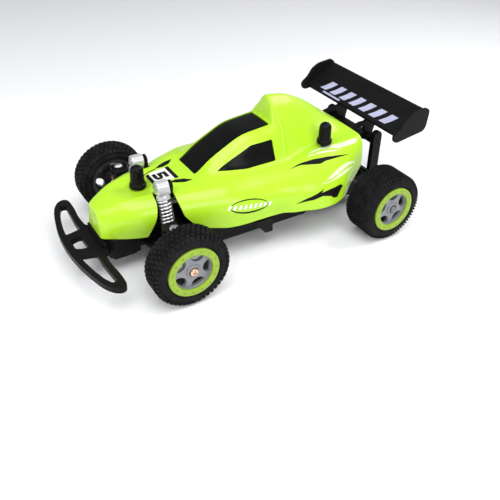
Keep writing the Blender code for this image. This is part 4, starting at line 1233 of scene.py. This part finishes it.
steps = int(TURNS * POINTS_PER_TURN)
coil = []
for i in range(steps + 1):
    turn = 2 * math.pi * TURNS * i / steps
    coil.append((COIL_RADIUS * math.sin(turn), COIL_RADIUS * math.cos(turn),
                 SPRING[0] + (SPRING[1] - SPRING[0]) * i / steps))
spring_shape = shock_shape(swept(coil, WIRE_RADIUS, 12))
print("spring:", TURNS, "turns,", len(spring_shape[0]), "points")

# %% [markdown]
# The silver cap is a rounded block with a bolt through it, on a turned collar that the spring pushes
# against.

# %% Caps, collars and springs
CAP_RADIUS = 4.4
CAP_HALF_LENGTH = 4.1
cap_outline = [(CAP_RADIUS * math.cos(a), -CAP_RADIUS * math.sin(a)) for a in np.linspace(0, math.pi, 17)]
cap_outline += [(-CAP_RADIUS, 4.2), (-3.9, 5.2), (3.9, 5.2), (CAP_RADIUS, 4.2)]
cap_block = prism(cap_outline, "X", -CAP_HALF_LENGTH, CAP_HALF_LENGTH)
collar = turned([(4.6, 0), (4.6, 3.9), (5.4, 3.9), (5.7, 4.35), (6.5, 4.5), (6.8, 4.2), (7.2, 4.2), (7.5, 4.7),
                 (8.1, 4.7), (8.4, 4.3), (8.4, 2.7), (14, 2.7), (14, 0)], (0, 0), 40, "Z")
eye_bolt = turned([(4.2, 0), (4.2, 2.0), (4.55, 2.0), (4.75, 1.6), (4.75, 0)], (0, 0), 24, "X")

for word, side in SIDES:
    cap = make("shock_cap_" + word, *to_side(shock_shape(cap_block), side), SILVER_PAINT, "car",
               "silver_plastic", ["shock_barrel_" + word])
    soften(cap, 0.9, 4, 40)
    make("shock_collar_" + word, *to_side(shock_shape(collar), side), SILVER_PAINT, "car", "silver_plastic")
    make("shock_bolt_" + word, *to_side(shock_shape(eye_bolt), side), BOLT_STEEL, "car", "steel")
    spring = make("spring_" + word, *to_side(spring_shape, side), SPRING_STEEL, "car", "steel",
                  ["shock_spring_" + word])
    x, y, z = on_shock(0, 0, SPRING[0] - WIRE_RADIUS)
    metres(x, side * y, z)
    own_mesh(spring)

# %% [markdown]
# The steering knuckles turn on upright kingpins, whose domed heads shine beside the shocks' feet. They are
# turned on a vertical axis and ride the arms, which carry them up and down.

# %% Kingpins
for word, side in SIDES:
    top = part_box("kingpin_" + word)[1].z / MM
    pin = [(15.8, 0), (15.8, 1.3), (top - 2.2, 1.3), (top - 2.2, 2.95), (top - 1.6, 3.05), (top - 0.8, 2.6),
           (top - 0.2, 1.4), (top, 0)]
    make("kingpin_dome_" + word, *to_side(turned(pin, (WHEELBASE, KINGPIN_Y), 36, "Z"), side), BOLT_STEEL,
         "arm_" + word, "steel", ["kingpin_" + word])
    print("kingpin", word, "reaches %.1f mm" % top)

# %% [markdown]
# ## Post caps
# The shell is held by rubber caps pushed over its posts. Each is a turned shape with a flared foot, a
# shallow groove above it and a domed top.

# %% Turn the caps
def post_cap(name, node):
    low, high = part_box(node)
    centre = ((low.x + high.x) / 2 - REAR_AXLE_X) / MM, (low.y + high.y) / 2 / MM
    foot, top = low.z / MM, high.z / MM
    profile = [(foot, 2.6), (foot, 5.3), (foot + 0.4, 5.6), (foot + 2.4, 5.55), (foot + 3.0, 5.3),
               (foot + 3.4, 4.75), (foot + 3.9, 4.65), (top - 4.4, 4.45), (top - 3.0, 4.3), (top - 1.6, 3.6),
               (top - 0.6, 2.4), (top - 0.12, 1.1), (top, 0), (top - 2.4, 0), (top - 2.4, 2.6)]
    make(name, *turned(profile, centre, 48, "Z"), CAP_RUBBER, "car", "cap_rubber", [node])


CAPS = {"cap_front": "post_cap_front", "cap_rear_left": "post_cap_rear_left",
        "cap_rear_right": "post_cap_rear_right"}
for name, node in CAPS.items():
    post_cap(name, node)
print("post caps:", len(CAPS))

# %% [markdown]
# ## Bumper
# The bumper is a flat hoop whose bars are rounded like tube. Its outline is smoothed first, the three gaps
# are cut, and a wide bevel then rounds every long edge at once.

# %% Shape the bumper
BUMPER_OUTSIDE = [(213.5, 0), (213, 12), (211.6, 24), (209.2, 36), (206.6, 46), (203.6, 52.5), (199.8, 56.6),
                  (196, 57.2), (193.4, 54.6), (193.2, 44), (194.4, 30), (193.8, 18), (190, 17)]
SIDE_GAP = [(208.6, 13), (207.8, 22), (206, 32), (203.4, 43), (200.6, 49.4), (197.4, 48.8), (198.2, 38),
            (198.8, 26), (198.4, 15.5)]
MIDDLE_GAP = [(208.2, 5.2), (204.6, 7), (200.6, 7.4), (200.6, -7.4), (204.6, -7), (208.2, -5.2)]
SKID = [(190.3, 13.4), (192.6, 17), (193.5, 17), (193.5, 24.5), (190.3, 24.5)]
hoop_outline = BUMPER_OUTSIDE + [(x, -y) for x, y in reversed(BUMPER_OUTSIDE[1:])]
side_gap = prism(rounded(SIDE_GAP, 1.6, 4), "Z", 14, 22)
hoop = make("bumper_hoop", *prism(rounded(hoop_outline, 3, 4), "Z", 15.8, 20.2), CHASSIS_BLACK, "car",
            "black_plastic", ["front_bumper"])
cut(hoop, [side_gap, both(side_gap), prism(rounded(MIDDLE_GAP, 1.2, 4), "Z", 14, 22)])
soften(hoop, 1.35, 4, 55)
skid = make("bumper_skid", *prism(rounded(SKID, 0.8, 3), "Y", -14, 14), CHASSIS_BLACK, "car", "black_plastic")
soften(skid, 0.5, 2)
print("bumper faces:", len(hoop.data.polygons))

# %% [markdown]
# ## Wing
# The wing is one black moulding: a dished blade with a lip, between two end plates. The blade is its own
# section, pushed across the car.

# %% Shape the wing
END_PLATE = [(-39.8, 89.2), (-43.6, 86.7), (-42.5, 74), (-40.2, 70.6), (-14.5, 66.6), (-11.2, 68.2),
             (-10.3, 72.7), (-16.6, 77.6), (-20.6, 83.7), (-26.9, 87.3)]
BLADE = [(-17.5, 67.8), (-24, 71.2), (-33, 77.6), (-41.5, 84.8), (-42.3, 86.6), (-40.6, 86.4), (-32, 79.4),
         (-24, 74.4), (-16.2, 71.2)]
BLADE_HALF_SPAN = 56.2
PLATE_MIDDLE = 57.1            # how far out the middle of an end plate is
PLATE_HALF_THICKNESS = 1.1
blade = prism(rounded(BLADE, 1.6, 4), "Y", -BLADE_HALF_SPAN, BLADE_HALF_SPAN)
soften(make("wing_blade", *blade, WING_BLACK, "car", "black_plastic", ["rear_wing"]), 0.25, 2, 50)
for word, side in SIDES:
    plate = prism(rounded(END_PLATE, 2.2, 4), "Y", PLATE_MIDDLE - PLATE_HALF_THICKNESS,
                  PLATE_MIDDLE + PLATE_HALF_THICKNESS)
    soften(make("wing_end_" + word, *to_side(plate, side), WING_BLACK, "car", "black_plastic"), 0.45, 3, 50)
print("wing: %.1f mm across" % (2 * (PLATE_MIDDLE + PLATE_HALF_THICKNESS)))

# %% [markdown]
# A row of slanted silver bars is printed on the wing's front half, with a thin line ahead of them. They are
# laid on the blade in the way that the stickers are laid on the shell.

# %% Print the wing's bars
WING_BARS = 7
FIRST_BAR = -40.0
BAR_PITCH = 12.2
blade_skin = surface(blade)
bars = [patch([(-16.9, -36.5), (-18.2, -36), (-18.2, -14), (-16.9, -14.5)], above, 0.1, blade_skin)]
for k in range(WING_BARS):
    right = FIRST_BAR + k * BAR_PITCH
    bar = [(-19.5, right - 2.4), (-28.5, right + 2.4), (-28.5, right + 9.4), (-19.5, right + 4.6)]
    bars.append(patch(bar, above, 0.1, blade_skin))
make("wing_bars", *join(*bars), WING_SILVER, "car", "silver_plastic")
print("printed bars:", len(bars))

# %% [markdown]
# ## Everything else
# The chassis, arms, towers and housings already have their true shape in the engineering model, but their
# edges are razor sharp. Each gets a copy with its flat faces merged and a small bevel, which catches the
# light as moulded plastic does.

# %% Soften the engineering parts
def refined(node, finish, body, slot, width=0.3, segments=2):
    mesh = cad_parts[node].data.copy()
    straighten(mesh, flatten=True)
    piece = bpy.data.objects.new(node + "_moulded", mesh)
    adopt(piece, finish, body, slot, [node])
    soften(piece, width, segments, 38)


for node, width in (("chassis_pan", 0.4), ("shock_tower", 0.25), ("rear_tower", 0.6), ("wing_mount", 0.35),
                    ("gearbox_housing", 0.5), ("gearbox_cover", 0.5), ("body_post_front", 0.2),
                    ("body_posts_rear", 0.2), ("steering_servo", 0.4), ("battery_door", 0.3)):
    refined(node, CHASSIS_BLACK, "car", "black_plastic", width)
for word, side in SIDES:
    refined("lower_arm_" + word, CHASSIS_BLACK, "arm_" + word, "black_plastic", 0.3)
    refined("knuckle_" + word, CHASSIS_BLACK, "steering_" + word, "black_plastic", 0.25)
    refined("shock_rod_" + word, CHASSIS_BLACK, "rod_" + word, "black_plastic", 0.2)
refined("tie_rod", CHASSIS_BLACK, "tie_rod", "black_plastic", 0.2)
refined("servo_horn", GEAR_WHITE, "servo_horn", "white_plastic", 0.2)
refined("battery_pack", PACK_WRAP, "car", "battery_wrap", 1.2, 3)
refined("power_switch", STAR_GREY, "power_switch", "grey_plastic", 0.2)

# %% [markdown]
# What is shut inside, or is plain turned metal, keeps its engineering shape and only gets a finish.

# %% Finish the parts that stay as they are
INSIDE = {"steel": BOLT_STEEL, "brass": SCREW_BRASS, "white_plastic": GEAR_WHITE, "board_green": BOARD_GREEN}
CARRIED = {"rear_axle": "steel", "motor": "steel", "battery_door_screw": "steel", "arm_pin_left": "steel",
           "arm_pin_right": "steel", "motor_pinion": "brass", "drive_gear": "white_plastic",
           "compound_gear": "white_plastic", "circuit_board": "board_green"}
for node, slot in CARRIED.items():
    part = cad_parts[node]
    for place in part.material_slots:
        place.material = INSIDE[slot]
print("finished as they are:", len(CARRIED))

# %% [markdown]
# ## Floor, light and camera
# The buggy stands on a pale floor under a dim, even sky.

# %% Floor and sky
FLOOR_TONE = (0.93, 0.93, 0.94)
FLOOR_REACH = 3                # metres each way
floor_finish = Finish("studio_floor", FLOOR_TONE, 0.6)
floor_finish.set("Roughness", 0.55 + 0.1 * floor_finish.grain(60, 2))
floor_mesh = bpy.data.meshes.new("studio_floor")
floor_corners = [(x * FLOOR_REACH, y * FLOOR_REACH, 0) for x, y in ((-1, -1), (1, -1), (1, 1), (-1, 1))]
floor_mesh.from_pydata(floor_corners, [], [(0, 1, 2, 3)])
floor_mesh.materials.append(floor_finish.material)
floor = bpy.data.objects.new("studio_floor", floor_mesh)
bpy.context.scene.collection.objects.link(floor)

world = bpy.data.worlds.new("studio")
world.use_nodes = True
world.node_tree.nodes["Background"].inputs["Color"].default_value = (0.95, 0.97, 1.0, 1)
world.node_tree.nodes["Background"].inputs["Strength"].default_value = 0.36
bpy.context.scene.world = world
bpy.context.scene.view_settings.view_transform = "Standard"
print("floor:", tuple(round(v, 2) for v in floor.dimensions))

# %% [markdown]
# Four panels light the car. The key is above and a little ahead, the fill is in front, the side panel makes
# the long streaks on the flank, and the rim panel behind parts the black wing from the floor.

# %% Light panels
def panel_light(name, place, target, size, power):
    light = bpy.data.lights.new(name, "AREA")
    light.shape = "RECTANGLE"
    light.size, light.size_y = size
    light.energy = power
    holder = bpy.data.objects.new(name, light)
    holder.location = place
    holder.rotation_euler = (Vector(target) - Vector(place)).to_track_quat("-Z", "Y").to_euler()
    bpy.context.scene.collection.objects.link(holder)


panel_light("key", (0.2, 0.3, 0.9), (0, 0, 0.03), (0.8, 0.6), 5.4)
panel_light("fill", (0.75, 0.0, 0.45), (0.02, 0, 0.03), (0.6, 0.5), 2.6)
panel_light("side", (0.1, 0.9, 0.5), (0, 0, 0.03), (0.9, 0.4), 4.2)
panel_light("rim", (-0.55, 0.1, 0.6), (-0.05, 0, 0.05), (0.5, 0.4), 3)
print("lights:", len(bpy.data.lights))

# %% [markdown]
# The camera is half a metre away, high on the front left. It looks along `LOOKING`, and `SKYWARD` says
# which way is up in the frame. The lens is shifted, which moves the car in the frame without turning the
# camera.

# %% Camera
CAMERA_PLACE = metres(290.6, 347.0, 268.7)
LOOKING = Vector((-0.49767, -0.66906, -0.55198))
SKYWARD = Vector((-0.274, -0.482, 0.832))
lens = bpy.data.cameras.new("camera")
lens.lens = 45.3
lens.sensor_width = 36
lens.shift_x = -0.0833
lens.shift_y = -0.0621
lens.clip_start = 0.02
camera = bpy.data.objects.new("camera", lens)
back = -LOOKING.normalized()
across = SKYWARD.cross(back).normalized()
turn = Matrix((across, back.cross(across), back)).transposed().to_4x4()
camera.matrix_world = Matrix.Translation(CAMERA_PLACE) @ turn
bpy.context.scene.collection.objects.link(camera)
bpy.context.scene.camera = camera
print("the camera is %.0f mm from the middle of the car" % (CAMERA_PLACE.length / MM))
